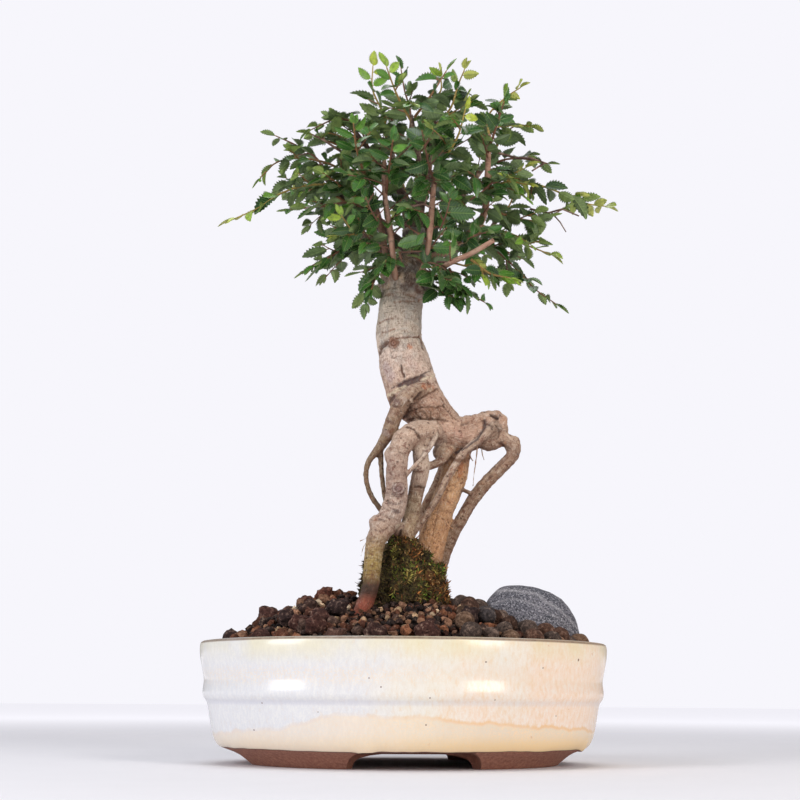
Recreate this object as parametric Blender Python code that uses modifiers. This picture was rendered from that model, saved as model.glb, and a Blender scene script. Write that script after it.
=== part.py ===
"""A Chinese elm bonsai with exposed roots in a glazed oval pot, in metres, +Z up, standing on z = 0.

The tree is laid out in the plane that faces its front: a route holds (across, away, height) in
millimetres from the pot's centre, and the whole tree is turned a little on the pot.
"""

import math
import random

import bmesh
import bpy
from mathutils import Matrix, Vector, noise
from mathutils.bvhtree import BVHTree

MM = 0.001

# Frame
POT_X = -9.5 * MM
TREE_TURN = math.radians(-5)
GAP = 0.35 * MM

# Pot
POT_LENGTH = 220 * MM
POT_DEPTH = 170 * MM
POT_HEIGHT = 63 * MM
WALL = 6 * MM
INNER_TAPER = 9.5 * MM
FLOOR_TOP = 13 * MM
FLOOR_CORNER = 7 * MM
FLOOR_UNDER = 7 * MM
FOOT_RADIUS = 82 * MM
POT_STEPS = 40
FRONT_GAP_WIDTH = 66 * MM
FRONT_GAP_Y = 72 * MM
SIDE_GAP_WIDTH = 30 * MM
SIDE_GAP_X = 90 * MM
FOOT_GAP_HEIGHT = 8.4 * MM
FOOT_GAP_REACH = 45 * MM
FOOT_GAP_ROUNDING = 6.7 * MM
HOLE_X = 45 * MM
HOLE_RADIUS = 7 * MM
HOLE_OVERRUN = 5 * MM

# Screens and clips in the pot's floor
SCREEN_SIDE = 24 * MM
SCREEN_THICKNESS = 1.2 * MM
SCREEN_BAR = 1.5 * MM
SCREEN_CELLS = 3
WIRE_RADIUS = 0.6 * MM
CLIP_HALF_SPAN = 5.6 * MM
CLIP_FOOT = 14 * MM
CLIP_BEND = 1.2 * MM

# Soil and what lies on it
SOIL_EDGE_HEIGHT = 57 * MM
SOIL_RISE = 29 * MM
SOIL_ROUNDNESS = 1.6
SOIL_TILT = 5 * MM
SOIL_BUMP = 1.6 * MM
SOIL_BUMP_WIDTH = 11 * MM
SOIL_TOP_SHARE = 0.985
SOIL_RINGS = 7
BALL_SEAT = 1.4 * GAP
ROOT_SEAT = 1.5 * GAP
MOSS_CENTRE = (5, -7, 99)
MOSS_RADII = (18.5, 15, 25)
MOSS_GRAIN = 2.2
MOSS_ROUGHNESS = 0.16
STONE_CENTRE = (69, 10, 74.5)
STONE_RADII = (29, 18, 19)
STONE_DIP = math.radians(20)
STONE_GRAIN = 0.8
STONE_ROUGHNESS = 0.08
LUMP_SHAPE = (1, 0.9, 0.82)
LUMP_RISE = 0.5
LUMP_GRAIN = 1.4
LUMP_ROUGHNESS = 0.28
LUMPS = (
    (-49, -26, 5.8),
    (-62, -16, 5.2),
    (-35, -37, 5.6),
    (-54, -44, 4.8),
    (-77, -8, 5.0),
    (-58, 22, 5.5),
    (33, -38, 4.9),
    (16, 44, 5.3),
)

# Tree: (across, away, height, radius) in millimetres
ROOT_STEP = 9 * MM
LIMB_STEP = 12 * MM
TRUNK_ROUNDNESS = 3
BRANCH_ROUNDNESS = 1
TRUNK = (
    (5.3, 2, 303.1, 5.3),
    (4.7, 2, 292.5, 5.6),
    (2.9, 1, 282, 8),
    (-0.6, 0, 272.2, 11),
    (-2.9, 0, 260, 12.3),
    (-3.8, 0, 247.2, 12.8),
    (-3.5, 0, 234.6, 13.5),
    (-0.9, -1, 226.3, 14.1),
    (0.3, -1, 218, 14.9),
    (2.3, -1, 209.7, 15.2),
    (5.1, -1, 201.5, 15.2),
    (11.4, -1, 193.3, 13.5),
    (17.6, 0, 186.3, 12.5),
    (25.5, 0, 180.4, 11),
    (35, 0, 178.6, 9.3),
    (44.7, 0, 181.5, 7),
    (51.6, 0, 187.5, 5.4),
)
ROOTS = (
    # Twin rootlets that hang at the far left
    (
        (4, -8, 206, 4),
        (-5.6, -11, 192.7, 4.2),
        (-9.5, -12, 181, 3.6),
        (-14.4, -12, 169.5, 2.6),
        (-20.4, -12, 161, 1.7),
        (-21.7, -11, 152, 1.5),
        (-18.6, -11, 142, 1.5),
        (-11.5, -13, 132, 1.6),
        (-7.5, -17, 125, 1.8),
    ),
    (
        (-14, -12, 170.5, 2),
        (-13.6, -10, 162, 1.5),
        (-12.2, -9, 147.7, 1.4),
        (-9.3, -11, 133.5, 1.5),
        (-6, -14, 126, 1.7),
    ),
    # Stout root at the front left
    (
        (20, -4, 181, 6),
        (9.9, -11, 179.1, 6.4),
        (1.8, -15, 174.6, 6.6),
        (-3.6, -18, 166, 6.2),
        (-4.6, -19, 153.3, 5.8),
        (-5, -19, 139, 5.8),
        (-9.4, -20, 127, 6.2),
        (-15.1, -22, 117.4, 5.4),
        (-17, -23, 104, 4.7),
        (-18.4, -24, 90, 4.4),
        (-23.8, -25, 75, 4.2),
        (-29, -25, 58, 3.4),
    ),
    # Root just right of it
    (
        (16, -6, 181, 4.4),
        (8.6, -12, 170, 4),
        (8.9, -12, 158.8, 3.9),
        (6.4, -10, 147, 3.9),
        (3.8, -9, 135.1, 3.9),
        (0.6, -9, 122.2, 3.8),
        (-1.6, -9, 106, 3.6),
        (-3, -8, 86, 3.4),
        (-6, -6, 62, 2.8),
    ),
    # Thin root across the front
    (
        (18.5, -9, 183, 1.6),
        (15.9, -14, 172.9, 1.3),
        (10.5, -18, 164, 1.2),
        (3, -22, 155, 1.2),
        (-2.5, -20, 149, 1.3),
    ),
    # Short root from under the trunk to the one at its left
    (
        (27, -3, 173, 3.4),
        (23.5, -6, 167.5, 2.7),
        (19.5, -8, 162.5, 2.6),
        (14.3, -9, 159.6, 2.3),
        (9, -11, 158.5, 2),
    ),
    # Broad root that carries the trunk
    (
        (30, 2, 180, 8.6),
        (27.7, 3, 159.4, 7.7),
        (23.7, 4, 145.9, 7.3),
        (18.6, 5, 132, 7.3),
        (14.4, 5, 117, 7.4),
        (12.2, 5, 100.6, 7.6),
        (12, 6, 80, 7),
        (14, 8, 56, 5),
    ),
    # Thin root from the knob
    (
        (50, -3, 185, 2.4),
        (45, -6, 176.8, 1.6),
        (32, -9, 167.4, 1.4),
        (22.5, -10, 153, 1.4),
        (16.2, -9, 140, 1.4),
        (9.4, -9, 129.4, 1.5),
        (3, -9, 120, 1.6),
    ),
    # Elbowed root at the right
    (
        (40, -2, 177, 4),
        (46.8, -3, 172.6, 3.7),
        (54.4, -3, 175.4, 3.7),
        (60.4, -2, 174, 3.8),
        (60.2, -1, 167.5, 3.8),
        (51, 1, 157.6, 3.6),
        (40, 4, 145.6, 3.6),
        (31, 7, 131, 3.6),
        (24.2, 9, 119, 3.8),
        (19.6, 11, 104, 3.9),
        (17, 12, 84, 3.8),
        (16, 14, 62, 3),
    ),
    # Rootlet that bridges the gap at the right
    (
        (24.5, 2, 150, 1.4),
        (33.2, 1, 147.4, 1.2),
        (39.5, 3, 144.6, 1.3),
    ),
    # Back root
    (
        (26, 6, 182, 5.6),
        (25, 13, 168, 4.6),
        (18, 15, 151, 3.8),
        (11.5, 15, 137, 3.5),
        (11.5, 15, 124, 3.5),
        (9, 16, 108, 4),
        (4, 18, 86, 4),
        (-3, 20, 62, 3),
    ),
)
LIMBS = (
    ((2, 0, 270, 3), (-10, -12, 278, 2.2), (-14, -17, 288, 2), (-17, -21, 302, 1.8), (-25, -27, 328, 1.3)),
    ((2, -4, 268, 2.6), (-5, -14, 274, 2), (-9, -23, 287, 1.8), (-12, -30, 304, 1.5), (-13, -36, 330, 1.1)),
    ((4, -2, 272, 2.8), (13, -12, 279, 2), (15, -26, 298, 1.8), (16, -34, 315, 1.5), (20, -40, 330, 1.2)),
    ((4, 0, 280, 3.2), (20, 0, 287, 2.6), (34, -6, 295, 2.4), (44, -14, 305, 2.1), (46, -24, 324, 1.8),
     (47, -27, 350, 1.3)),
    ((4, -2, 271, 2.6), (11, -9, 273, 2), (23, -22, 270, 1.9), (35, -32, 273, 1.8), (49, -40, 280, 1.6)),
    ((5, 2, 294, 4), (20, 10, 313, 3), (34, 14, 331, 2.3), (45, 18, 348, 1.8), (56, 22, 362, 1.3)),
    ((4, 2, 294, 4), (-1, 15, 322, 2.8), (-7, 25, 348, 2), (-11, 32, 374, 1.3)),
    ((5, 1, 296, 4.4), (8, 3, 322, 3.2), (13, 8, 346, 2.4), (16, 10, 370, 1.8), (15, 8, 391, 1.2)),
    ((1, 4, 278, 3.6), (-15, 25, 299, 2.6), (-31, 39, 316, 2), (-44, 46, 334, 1.3)),
    ((4, 4, 280, 3.6), (26, 29, 300, 2.6), (46, 44, 312, 2), (58, 50, 330, 1.3)),
    ((3, 5, 286, 3.6), (4, 30, 304, 2.6), (2, 50, 318, 2), (4, 60, 340, 1.3)),
    ((3, 1, 288, 3.6), (-19, 4, 308, 2.5), (-38, 3, 322, 1.9), (-50, 4, 338, 1.3)),
    ((-3, 18, 332, 2), (-18, 10, 350, 1.7), (-31, 0, 364, 1.2)),
    ((9, 4, 328, 2.2), (6, -14, 345, 1.7), (2, -27, 362, 1.2)),
)

# Shoots: (across, away, height) in millimetres, from the limb outwards
SHOOTS = (
    # Top
    ((-13, 16, 366), (-14, 4, 376), (-21, -3, 390), (-21, -6, 404)),
    ((13, 7, 386), (20, 2, 392), (20, 0, 401)),
    ((17, 9, 372), (26, 0, 380), (30, -4, 392), (34, -8, 401)),
    ((-2, 14, 352), (2, 2, 374), (-2, -4, 390), (-4, -6, 402)),
    # Right
    ((47, -24, 350), (48, -16, 368), (58, -16, 379), (66, -18, 384)),
    ((52, 20, 358), (58, 8, 366), (66, 2, 370), (73, 0, 368)),
    ((46, 18, 348), (58, 15, 353), (70, 15, 354), (85, 15, 351)),
    ((46, -24, 326), (66, -16, 327), (82, -9, 325), (95, -4, 322), (106, 0, 319), (117.5, 4, 319)),
    ((44, -16, 310), (60, -12, 306), (76, -8, 305), (92, -4, 314)),
    ((42, -10, 302), (58, -4, 296), (72, 0, 292), (84, 2, 288)),
    ((32, -4, 293), (50, 8, 294), (66, 11, 281), (75, 8, 269), (87, 6, 259)),
    ((36, -30, 273), (46, -30, 265), (57, -31, 262)),
    ((24, -23, 270), (27, -25, 262), (29, -26, 253)),
    # Left
    ((-16, -19, 300), (-36, -21, 319), (-56, -23, 320), (-72, -25, 314), (-84, -26, 305), (-98, -28, 297)),
    ((-32, 3, 318), (-50, -4, 325), (-66, -8, 322)),
    ((-30, 3, 332), (-44, -8, 339), (-62, -13, 341), (-76, -16, 337), (-85, -17, 327)),
    ((-46, 4, 334), (-54, 6, 349), (-66, 5, 357), (-79, 4, 363)),
    ((-22, 8, 354), (-30, -6, 366), (-43, -10, 367), (-56, -12, 360)),
    ((-28, 2, 361), (-40, 1, 356), (-50, -1, 359), (-57, -3, 361)),
    ((-12, -15, 284), (-26, -17, 286), (-40, -18, 281), (-54, -18, 273)),
    ((-9, -13, 277), (-16, -21, 270), (-19, -23, 260)),
    ((-16, -21, 302), (-32, -26, 308), (-48, -28, 305), (-66, -28, 303)),
    ((-44, 4, 330), (-62, 11, 334), (-76, 14, 330)),
    # Front
    ((-22, -25, 320), (-28, -40, 332), (-30, -52, 344)),
    ((-12, -31, 310), (-10, -48, 320), (-8, -60, 330)),
    ((16, -34, 316), (12, -48, 322), (8, -60, 336)),
    ((20, -39, 328), (28, -50, 338), (32, -57, 351)),
    ((46, -26, 338), (50, -40, 348), (54, -47, 360)),
    ((45, -20, 318), (56, -34, 318), (67, -42, 313)),
    ((3, -24, 358), (-6, -36, 370), (-12, -42, 384)),
    ((4, -26, 361), (14, -36, 371), (22, -38, 384)),
    # Back
    ((-42, 45, 331), (-57, 51, 339), (-70, 54, 350)),
    ((-30, 38, 315), (-42, 55, 318), (-50, 66, 325)),
    ((4, 59, 338), (0, 68, 352), (-4, 70, 366)),
    ((3, 44, 314), (14, 62, 321), (24, 73, 328)),
    ((57, 50, 328), (66, 57, 342), (70, 58, 357)),
    ((44, 42, 311), (60, 52, 309), (73, 57, 305)),
    ((-10, 31, 370), (-15, 42, 383), (-20, 46, 396)),
    ((-8, 27, 354), (-21, 41, 359), (-32, 50, 366)),
    ((14, 9, 356), (23, 27, 363), (29, 40, 374)),
    ((16, 10, 374), (27, 18, 384), (38, 24, 393)),
)
CROWN_CENTRE = (8, 0, 320)
STEM_BASE_WIDTH = 1.3 * MM
STEM_TIP_WIDTH = 0.8 * MM
STEM_RISE = 3 * MM
STEM_STEP = 5 * MM
ROUTE_TRIES = 60
ROUTE_SHIFT = 1.2 * MM
FIRST_LEAF = 6 * MM
LAST_LEAF = 3 * MM
LEAF_SPACING = 8 * MM
LEAF_LENGTH = (13 * MM, 17 * MM)
LEAF_WIDTH_SHARE = 0.52
LEAF_WIDEST = 0.45
LEAF_THICKNESS = 0.6 * MM
LEAF_ANGLE = math.radians(56)
LEAF_DROOP = 0.12
LEAF_FOOT = 1.5 * MM
LEAF_CLEARANCE = 0.5 * MM

# Share of a leaf's length and turn away from LEAF_ANGLE, tried until the leaf has room
LEAF_TRIES = ((1, 0), (0.9, 0.25), (0.85, -0.25), (0.7, 0.1), (0.6, -0.1))
SQUARE = ((1, 1), (-1, 1), (-1, -1), (1, -1))


# Scene


def clear_scene():
    for obj in list(bpy.data.objects):
        bpy.data.objects.remove(obj, do_unlink=True)


def new_collection(name, hidden=False):
    collection = bpy.data.collections.new(name)
    collection.hide_render = hidden
    bpy.context.scene.collection.children.link(collection)
    return collection


def material(name, colour, roughness, metallic=0.0):
    made = bpy.data.materials.new(name)
    made.use_nodes = True
    shader = made.node_tree.nodes["Principled BSDF"]
    shader.inputs["Base Color"].default_value = (*colour, 1)
    shader.inputs["Roughness"].default_value = roughness
    shader.inputs["Metallic"].default_value = metallic
    made.diffuse_color = (*colour, 1)
    return made


def add_object(name, data, collection, finish=None):
    obj = bpy.data.objects.new(name, data)
    collection.objects.link(obj)
    if finish:
        data.materials.clear()
        data.materials.append(finish)
    if collection.hide_render:
        obj.hide_render = True
        obj.display_type = "WIRE"
    return obj


def mesh_from(bm, name):
    bmesh.ops.recalc_face_normals(bm, faces=bm.faces)
    if bm.calc_volume(signed=True) < 0:
        bmesh.ops.reverse_faces(bm, faces=bm.faces)
    mesh = bpy.data.meshes.new(name)
    bm.to_mesh(mesh)
    bm.free()
    return mesh


def baked(obj, name, collection, finish=None):
    """The object's evaluated shape as a new mesh object in world space. The original is removed."""
    bpy.context.view_layer.update()
    graph = bpy.context.evaluated_depsgraph_get()
    mesh = bpy.data.meshes.new_from_object(obj.evaluated_get(graph), depsgraph=graph)
    mesh.transform(obj.matrix_world)
    bm = bmesh.new()
    bm.from_mesh(mesh)
    bmesh.ops.remove_doubles(bm, verts=bm.verts, dist=0.002 * MM)
    bm.to_mesh(mesh)
    bm.free()
    bpy.data.objects.remove(obj, do_unlink=True)
    return add_object(name, mesh, collection, finish)


def cut(obj, cutters, operation="DIFFERENCE"):
    for cutter in cutters:
        boolean = obj.modifiers.new(cutter.name, "BOOLEAN")
        boolean.operation = operation
        boolean.object = cutter
        boolean.solver = "EXACT"


def keep_largest(mesh):
    """Removes the crumbs that a cut leaves beside the main body."""
    bm = bmesh.new()
    bm.from_mesh(mesh)
    left = set(bm.verts)
    islands = []
    while left:
        island = {left.pop()}
        edge_of_search = set(island)
        while edge_of_search:
            reached = {e.other_vert(v) for v in edge_of_search for e in v.link_edges}
            edge_of_search = reached - island
            island |= edge_of_search
        left -= island
        islands.append(island)
    islands.sort(key=len)
    for island in islands[:-1]:
        bmesh.ops.delete(bm, geom=list(island), context="VERTS")
    bm.to_mesh(mesh)
    bm.free()


# Places on the tree


def place(across, away, height):
    """A point of the tree, from millimetres in the front plane to the part's own frame."""
    turned = Matrix.Rotation(TREE_TURN, 3, "Z") @ Vector((across, away, height)) * MM
    return turned + Vector((POT_X, 0, 0))


def smooth_route(points, step):
    """Points along a smooth curve through the given ones, about a step apart, any numbers along."""
    ends = [2 * points[0] - points[1], *points, 2 * points[-1] - points[-2]]
    route = []
    for before, start, end, after in zip(ends, ends[1:], ends[2:], ends[3:]):
        count = max(1, round((end - start).length / step))
        for i in range(count):
            t = i / count
            route.append(
                0.5
                * (
                    2 * start
                    + (end - before) * t
                    + (2 * before - 5 * start + 4 * end - after) * t**2
                    + (3 * start - before - 3 * end + after) * t**3
                )
            )
    return [*route, points[-1]]


def tube(name, route, radii, bevel_resolution, collection, finish=None):
    """A round tube whose radius follows the route, as a closed mesh."""
    curve = bpy.data.curves.new(name, "CURVE")
    curve.dimensions = "3D"
    curve.bevel_depth = MM
    curve.bevel_resolution = bevel_resolution
    curve.use_fill_caps = True
    spline = curve.splines.new("POLY")
    spline.points.add(len(route) - 1)
    for point, where, radius in zip(spline.points, route, radii):
        point.co = (*where, 1)
        point.radius = radius / MM
    return baked(add_object(name, curve, collection), name, collection, finish)


def wood_tube(name, stations, grow, step, bevel_resolution, collection, finish=None):
    """A trunk, root or limb through its stations, made thicker all round by grow."""
    packed = [Vector((*place(*s[:3]), s[3] * MM)).to_4d() for s in stations]
    route = smooth_route(packed, step)
    return tube(
        name,
        [Vector(p[:3]) for p in route],
        [p[3] + grow for p in route],
        bevel_resolution,
        collection,
        finish,
    )


# Pot


def inner_radius(height):
    """The pot's inner half length at a height above its floor."""
    rise = (height - FLOOR_TOP) / (POT_HEIGHT - FLOOR_TOP)
    return POT_LENGTH / 2 - WALL - INNER_TAPER * (1 - rise)


def pot_profile():
    """From the inner floor's centre, up the inner wall, over the rim and down the outside."""
    rim = POT_LENGTH / 2
    return [
        (0, FLOOR_TOP),
        (inner_radius(FLOOR_TOP) - FLOOR_CORNER, FLOOR_TOP),
        (inner_radius(FLOOR_TOP) - 2 * MM, FLOOR_TOP + 2 * MM),
        (inner_radius(FLOOR_TOP + FLOOR_CORNER), FLOOR_TOP + FLOOR_CORNER),
        (inner_radius(POT_HEIGHT - 1.2 * MM), POT_HEIGHT - 1.2 * MM),
        (rim - WALL + 1.4 * MM, POT_HEIGHT),
        (rim - 1.2 * MM, POT_HEIGHT),
        (rim, POT_HEIGHT - 1.4 * MM),
        (rim - 1.4 * MM, 51 * MM),
        (rim - 2.7 * MM, 44 * MM),
        (rim - 3.6 * MM, 36 * MM),
        (rim - 4.1 * MM, 32.5 * MM),
        (rim - 4.8 * MM, 31 * MM),
        (rim - 6.7 * MM, 28.6 * MM),
        (rim - 8.8 * MM, 21 * MM),
        (rim - 11 * MM, 13 * MM),
        (rim - 13 * MM, 9 * MM),
        (rim - 20 * MM, 6.5 * MM),
        (FOOT_RADIUS, 0),
        (FOOT_RADIUS - 10 * MM, 0),
        (FOOT_RADIUS - 12 * MM, FLOOR_UNDER),
        (0, FLOOR_UNDER),
    ]


def turned_oval(name, profile, collection, finish=None):
    """A profile turned into a round body and flattened to the pot's oval, still centred on x = 0."""
    bm = bmesh.new()
    verts = [bm.verts.new((x, 0, z)) for x, z in profile]
    for first, second in zip(verts, verts[1:]):
        bm.edges.new((first, second))
    mesh = bpy.data.meshes.new(name)
    bm.to_mesh(mesh)
    bm.free()
    obj = add_object(name + "_profile", mesh, collection)
    obj.scale = (1, POT_DEPTH / POT_LENGTH, 1)
    screw = obj.modifiers.new("Turn", "SCREW")
    screw.steps = screw.render_steps = POT_STEPS
    screw.use_merge_vertices = True
    screw.merge_threshold = 0.00001
    return baked(obj, name, collection, finish)


def block(name, size, centre, collection, bevel_axis=None, bevel=0):
    """A box, with the edges along one axis rounded if asked."""
    bm = bmesh.new()
    bmesh.ops.create_cube(bm, size=1)
    bmesh.ops.scale(bm, vec=size, verts=bm.verts)
    if bevel_axis is not None:
        along = [
            e
            for e in bm.edges
            if abs((e.verts[0].co - e.verts[1].co).normalized()[bevel_axis]) > 0.9
        ]
        bmesh.ops.bevel(bm, geom=along, offset=bevel, segments=3, profile=0.5, affect="EDGES")
    bmesh.ops.translate(bm, vec=centre, verts=bm.verts)
    return add_object(name, mesh_from(bm, name), collection)


def cylinder(name, radius, low, high, x, collection):
    bm = bmesh.new()
    bmesh.ops.create_cone(
        bm, cap_ends=True, segments=16, radius1=radius, radius2=radius, depth=high - low
    )
    bmesh.ops.translate(bm, vec=(x, 0, (low + high) / 2), verts=bm.verts)
    return add_object(name, mesh_from(bm, name), collection)


def make_pot(parts, cutters):
    pot = turned_oval("pot", pot_profile(), parts, material("glaze", (0.72, 0.66, 0.52), 0.15))
    pot.location.x = POT_X
    tall = 2 * FOOT_GAP_HEIGHT
    for side in (-1, 1):
        front = block(
            f"foot_gap_y{side}",
            (FRONT_GAP_WIDTH, FOOT_GAP_REACH, tall),
            (POT_X, side * FRONT_GAP_Y, 0),
            cutters,
            bevel_axis=1,
            bevel=FOOT_GAP_ROUNDING,
        )
        end = block(
            f"foot_gap_x{side}",
            (FOOT_GAP_REACH, SIDE_GAP_WIDTH, tall),
            (POT_X + side * SIDE_GAP_X, 0, 0),
            cutters,
            bevel_axis=0,
            bevel=FOOT_GAP_ROUNDING,
        )
        hole = cylinder(
            f"drain_hole_x{side}",
            HOLE_RADIUS,
            FLOOR_UNDER - HOLE_OVERRUN,
            FLOOR_TOP + HOLE_OVERRUN,
            POT_X + side * HOLE_X,
            cutters,
        )
        cut(pot, (front, end, hole))


# Screens and clips


def make_screen(name, x, parts, finish):
    """A square lattice that lies over a drain hole."""
    cell = (SCREEN_SIDE - SCREEN_BAR * (SCREEN_CELLS + 1)) / SCREEN_CELLS
    lines = [0]
    for _ in range(SCREEN_CELLS):
        lines += [lines[-1] + SCREEN_BAR, lines[-1] + SCREEN_BAR + cell]
    lines.append(SCREEN_SIDE)
    segments = len(lines) - 1
    bm = bmesh.new()
    bmesh.ops.create_grid(bm, x_segments=segments, y_segments=segments, size=segments / 2)
    openings = [
        f
        for f in bm.faces
        if all(math.floor(c + segments / 2) % 2 == 1 for c in f.calc_center_median().xy)
    ]
    bmesh.ops.delete(bm, geom=openings, context="FACES")
    for vert in bm.verts:
        column, row = (round(c + segments / 2) for c in vert.co.xy)
        vert.co = (lines[column] - SCREEN_SIDE / 2, lines[row] - SCREEN_SIDE / 2, 0)
    mesh = bpy.data.meshes.new(name)
    bm.to_mesh(mesh)
    bm.free()
    screen = add_object(name, mesh, parts, finish)
    screen.location = (x, 0, FLOOR_TOP + GAP)
    thicken = screen.modifiers.new("Thickness", "SOLIDIFY")
    thicken.thickness = SCREEN_THICKNESS
    thicken.offset = 1
    return screen


def make_clip(name, x, parts, finish):
    """A wire staple through the screen and the hole, its ends bent out under the floor."""
    top = FLOOR_TOP + 2 * GAP + SCREEN_THICKNESS + WIRE_RADIUS
    under = FLOOR_UNDER - GAP - WIRE_RADIUS
    half = [
        (CLIP_FOOT, under),
        (CLIP_HALF_SPAN + CLIP_BEND, under),
        (CLIP_HALF_SPAN, under + CLIP_BEND),
        (CLIP_HALF_SPAN, top - CLIP_BEND),
        (CLIP_HALF_SPAN - CLIP_BEND, top),
    ]
    outline = half + [(-across, height) for across, height in reversed(half)]
    route = [Vector((x + across, 0, height)) for across, height in outline]
    return tube(name, route, [WIRE_RADIUS] * len(route), 1, parts, finish)


# Soil, moss, stone and lumps


def soil_height(x, y):
    """The height of the soil's top at a point measured from the pot's centre."""
    reach = POT_LENGTH / 2 - WALL
    away = math.hypot(x / reach, y * POT_LENGTH / POT_DEPTH / reach)
    rise = (SOIL_RISE - SOIL_TILT * x / reach) * (1 - min(away, 1) ** SOIL_ROUNDNESS)
    bump = SOIL_BUMP * noise.noise(Vector((x, y, 0)) / SOIL_BUMP_WIDTH)
    return SOIL_EDGE_HEIGHT + rise + bump * (1 - min(away, 1) ** 4)


def rough_ball(name, radii, centre, turn, grain, depth, collection, finish=None, grow=0.0, level=3):
    """A ball pressed to three radii with a rough skin, in the tree's turned frame."""
    bm = bmesh.new()
    bmesh.ops.create_icosphere(bm, subdivisions=level, radius=1)
    seat = Vector(centre)
    for vert in bm.verts:
        out = vert.co.copy()
        rough = 1 + depth * noise.noise(out * grain + seat)
        vert.co = Vector((out[i] * (radii[i] * rough * MM + grow) for i in range(3)))
    turned = Matrix.Translation(place(*centre)) @ Matrix.Rotation(TREE_TURN, 4, "Z") @ turn
    bmesh.ops.transform(bm, matrix=turned, verts=bm.verts)
    return add_object(name, mesh_from(bm, name), collection, finish)


def make_soil(parts, cutters, finish, holes):
    low = FLOOR_TOP + GAP
    rings = [(inner_radius(SOIL_EDGE_HEIGHT) - GAP) * i / SOIL_RINGS for i in range(SOIL_RINGS + 1)]
    profile = [(radius, SOIL_EDGE_HEIGHT) for radius in rings]
    profile += [
        (inner_radius(FLOOR_TOP + FLOOR_CORNER) - 1.2 * GAP, FLOOR_TOP + FLOOR_CORNER),
        (inner_radius(FLOOR_TOP) - 2 * MM - 1.6 * GAP, FLOOR_TOP + 2 * MM + GAP),
        (inner_radius(FLOOR_TOP) - FLOOR_CORNER - GAP, low),
        (0, low),
    ]
    soil = turned_oval("soil", profile, parts, finish)
    inside = (POT_LENGTH / 2 - WALL) * SOIL_TOP_SHARE
    for vert in soil.data.vertices:
        across = math.hypot(vert.co.x, vert.co.y * POT_LENGTH / POT_DEPTH)
        if vert.co.z > SOIL_EDGE_HEIGHT - MM and across < inside:
            vert.co.z = soil_height(vert.co.x, vert.co.y)
    soil.data.transform(Matrix.Translation((POT_X, 0, 0)))
    for side in (-1, 1):
        pocket = block(
            f"screen_pocket_x{side}",
            (SCREEN_SIDE + MM, SCREEN_SIDE + MM, 8 * MM),
            (POT_X + side * HOLE_X, 0, FLOOR_TOP - 0.5 * MM),
            cutters,
        )
        holes = [*holes, pocket]
    cut(soil, holes)
    done = baked(soil, "soil", parts, finish)
    keep_largest(done.data)
    return done


# Leafy shoots


def frame_along(route, index):
    """The stem's direction, its side and its upper side at a point of the route."""
    before, after = route[max(index - 1, 0)], route[min(index + 1, len(route) - 1)]
    along = (after - before).normalized()
    outward = (route[index] - place(*CROWN_CENTRE)).normalized()
    up = Vector((0, 0, 1)) + 0.45 * outward
    if abs(along.dot(up.normalized())) > 0.9:
        up = outward + Vector((0.3, -0.4, 0))
    side = along.cross(up).normalized()
    return along, side, side.cross(along).normalized()


def length_of(route):
    return sum((end - start).length for start, end in zip(route, route[1:]))


def point_at(route, distance):
    """The point at a distance along the route, and the index of the stretch it lies on."""
    for index, (start, end) in enumerate(zip(route, route[1:])):
        length = (end - start).length
        if distance <= length:
            return start.lerp(end, distance / length), index
        distance -= length
    return route[-1].copy(), len(route) - 2


class Leaf:
    """One leaf: its foot on the stem, the way it points, its flat and upper sides, and its size."""

    def __init__(self, foot, out, flat, length, distance=0.0, hand=0):
        self.foot = foot
        self.out = out.normalized()
        self.flat = (flat - self.out * flat.dot(self.out)).normalized()
        self.upper = self.out.cross(self.flat)
        self.length = length
        self.distance = distance
        self.hand = hand

    def tip(self, grow=0.0):
        return self.foot + self.out * (self.length + grow)

    def corner(self, flat_sign, upper_sign, grow=0.0):
        """One of the blade's four corners where it is widest."""
        wide = self.length * LEAF_WIDTH_SHARE / 2 + grow
        thick = LEAF_THICKNESS / 2 + grow
        middle = self.foot + self.out * self.length * LEAF_WIDEST
        return middle + self.flat * wide * flat_sign + self.upper * thick * upper_sign

    def shell(self):
        """The leaf with its clearance, as points and faces for a clash test."""
        near = self.foot + self.out * self.length * 0.12
        round_middle = [self.corner(*signs, LEAF_CLEARANCE) for signs in SQUARE]
        points = [near, *round_middle, self.tip(LEAF_CLEARANCE)]
        faces = [(end, i, i % 4 + 1) for end in (0, 5) for i in range(1, 5)]
        return points, faces


def stem_shell(route, grow):
    """A four-sided tube round the route, for a clash test."""
    points = []
    faces = []
    for index, where in enumerate(route):
        _, side, upper = frame_along(route, index)
        half = STEM_BASE_WIDTH / 2 + grow
        points += [where + side * half * s + upper * half * u for s, u in SQUARE]
        if index:
            low, high = 4 * index - 4, 4 * index
            faces += [(low + i, low + (i + 1) % 4, high + (i + 1) % 4, high + i) for i in range(4)]
    return points, faces


def free_of(shell, tree):
    return not BVHTree.FromPolygons(*shell).overlap(tree)


def seated_route(spray, wood, others, rng):
    """A smooth route that starts just off the limb's skin and is clear of all the wood and shoots."""
    for attempt in range(ROUTE_TRIES):
        shift = ROUTE_SHIFT * attempt**0.7
        points = [place(*point) for point in spray]
        for point in points[1:]:
            point += Vector(rng.uniform(-shift, shift) for _ in range(3))
        near_limb = points[0].lerp(points[1], 0.1 * (attempt % 7))
        foot, normal, _, _ = wood.find_nearest(near_limb)
        rise = foot + normal * STEM_RISE
        route = [foot + normal * GAP, *smooth_route([rise, *points[1:]], STEM_STEP)]
        if free_of(stem_shell(route[1:], LEAF_CLEARANCE), others) and free_of(stem_shell(route, 0), wood):
            return route, normal
    raise ValueError(f"no free way for the shoot that starts at {spray[0]}")


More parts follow.
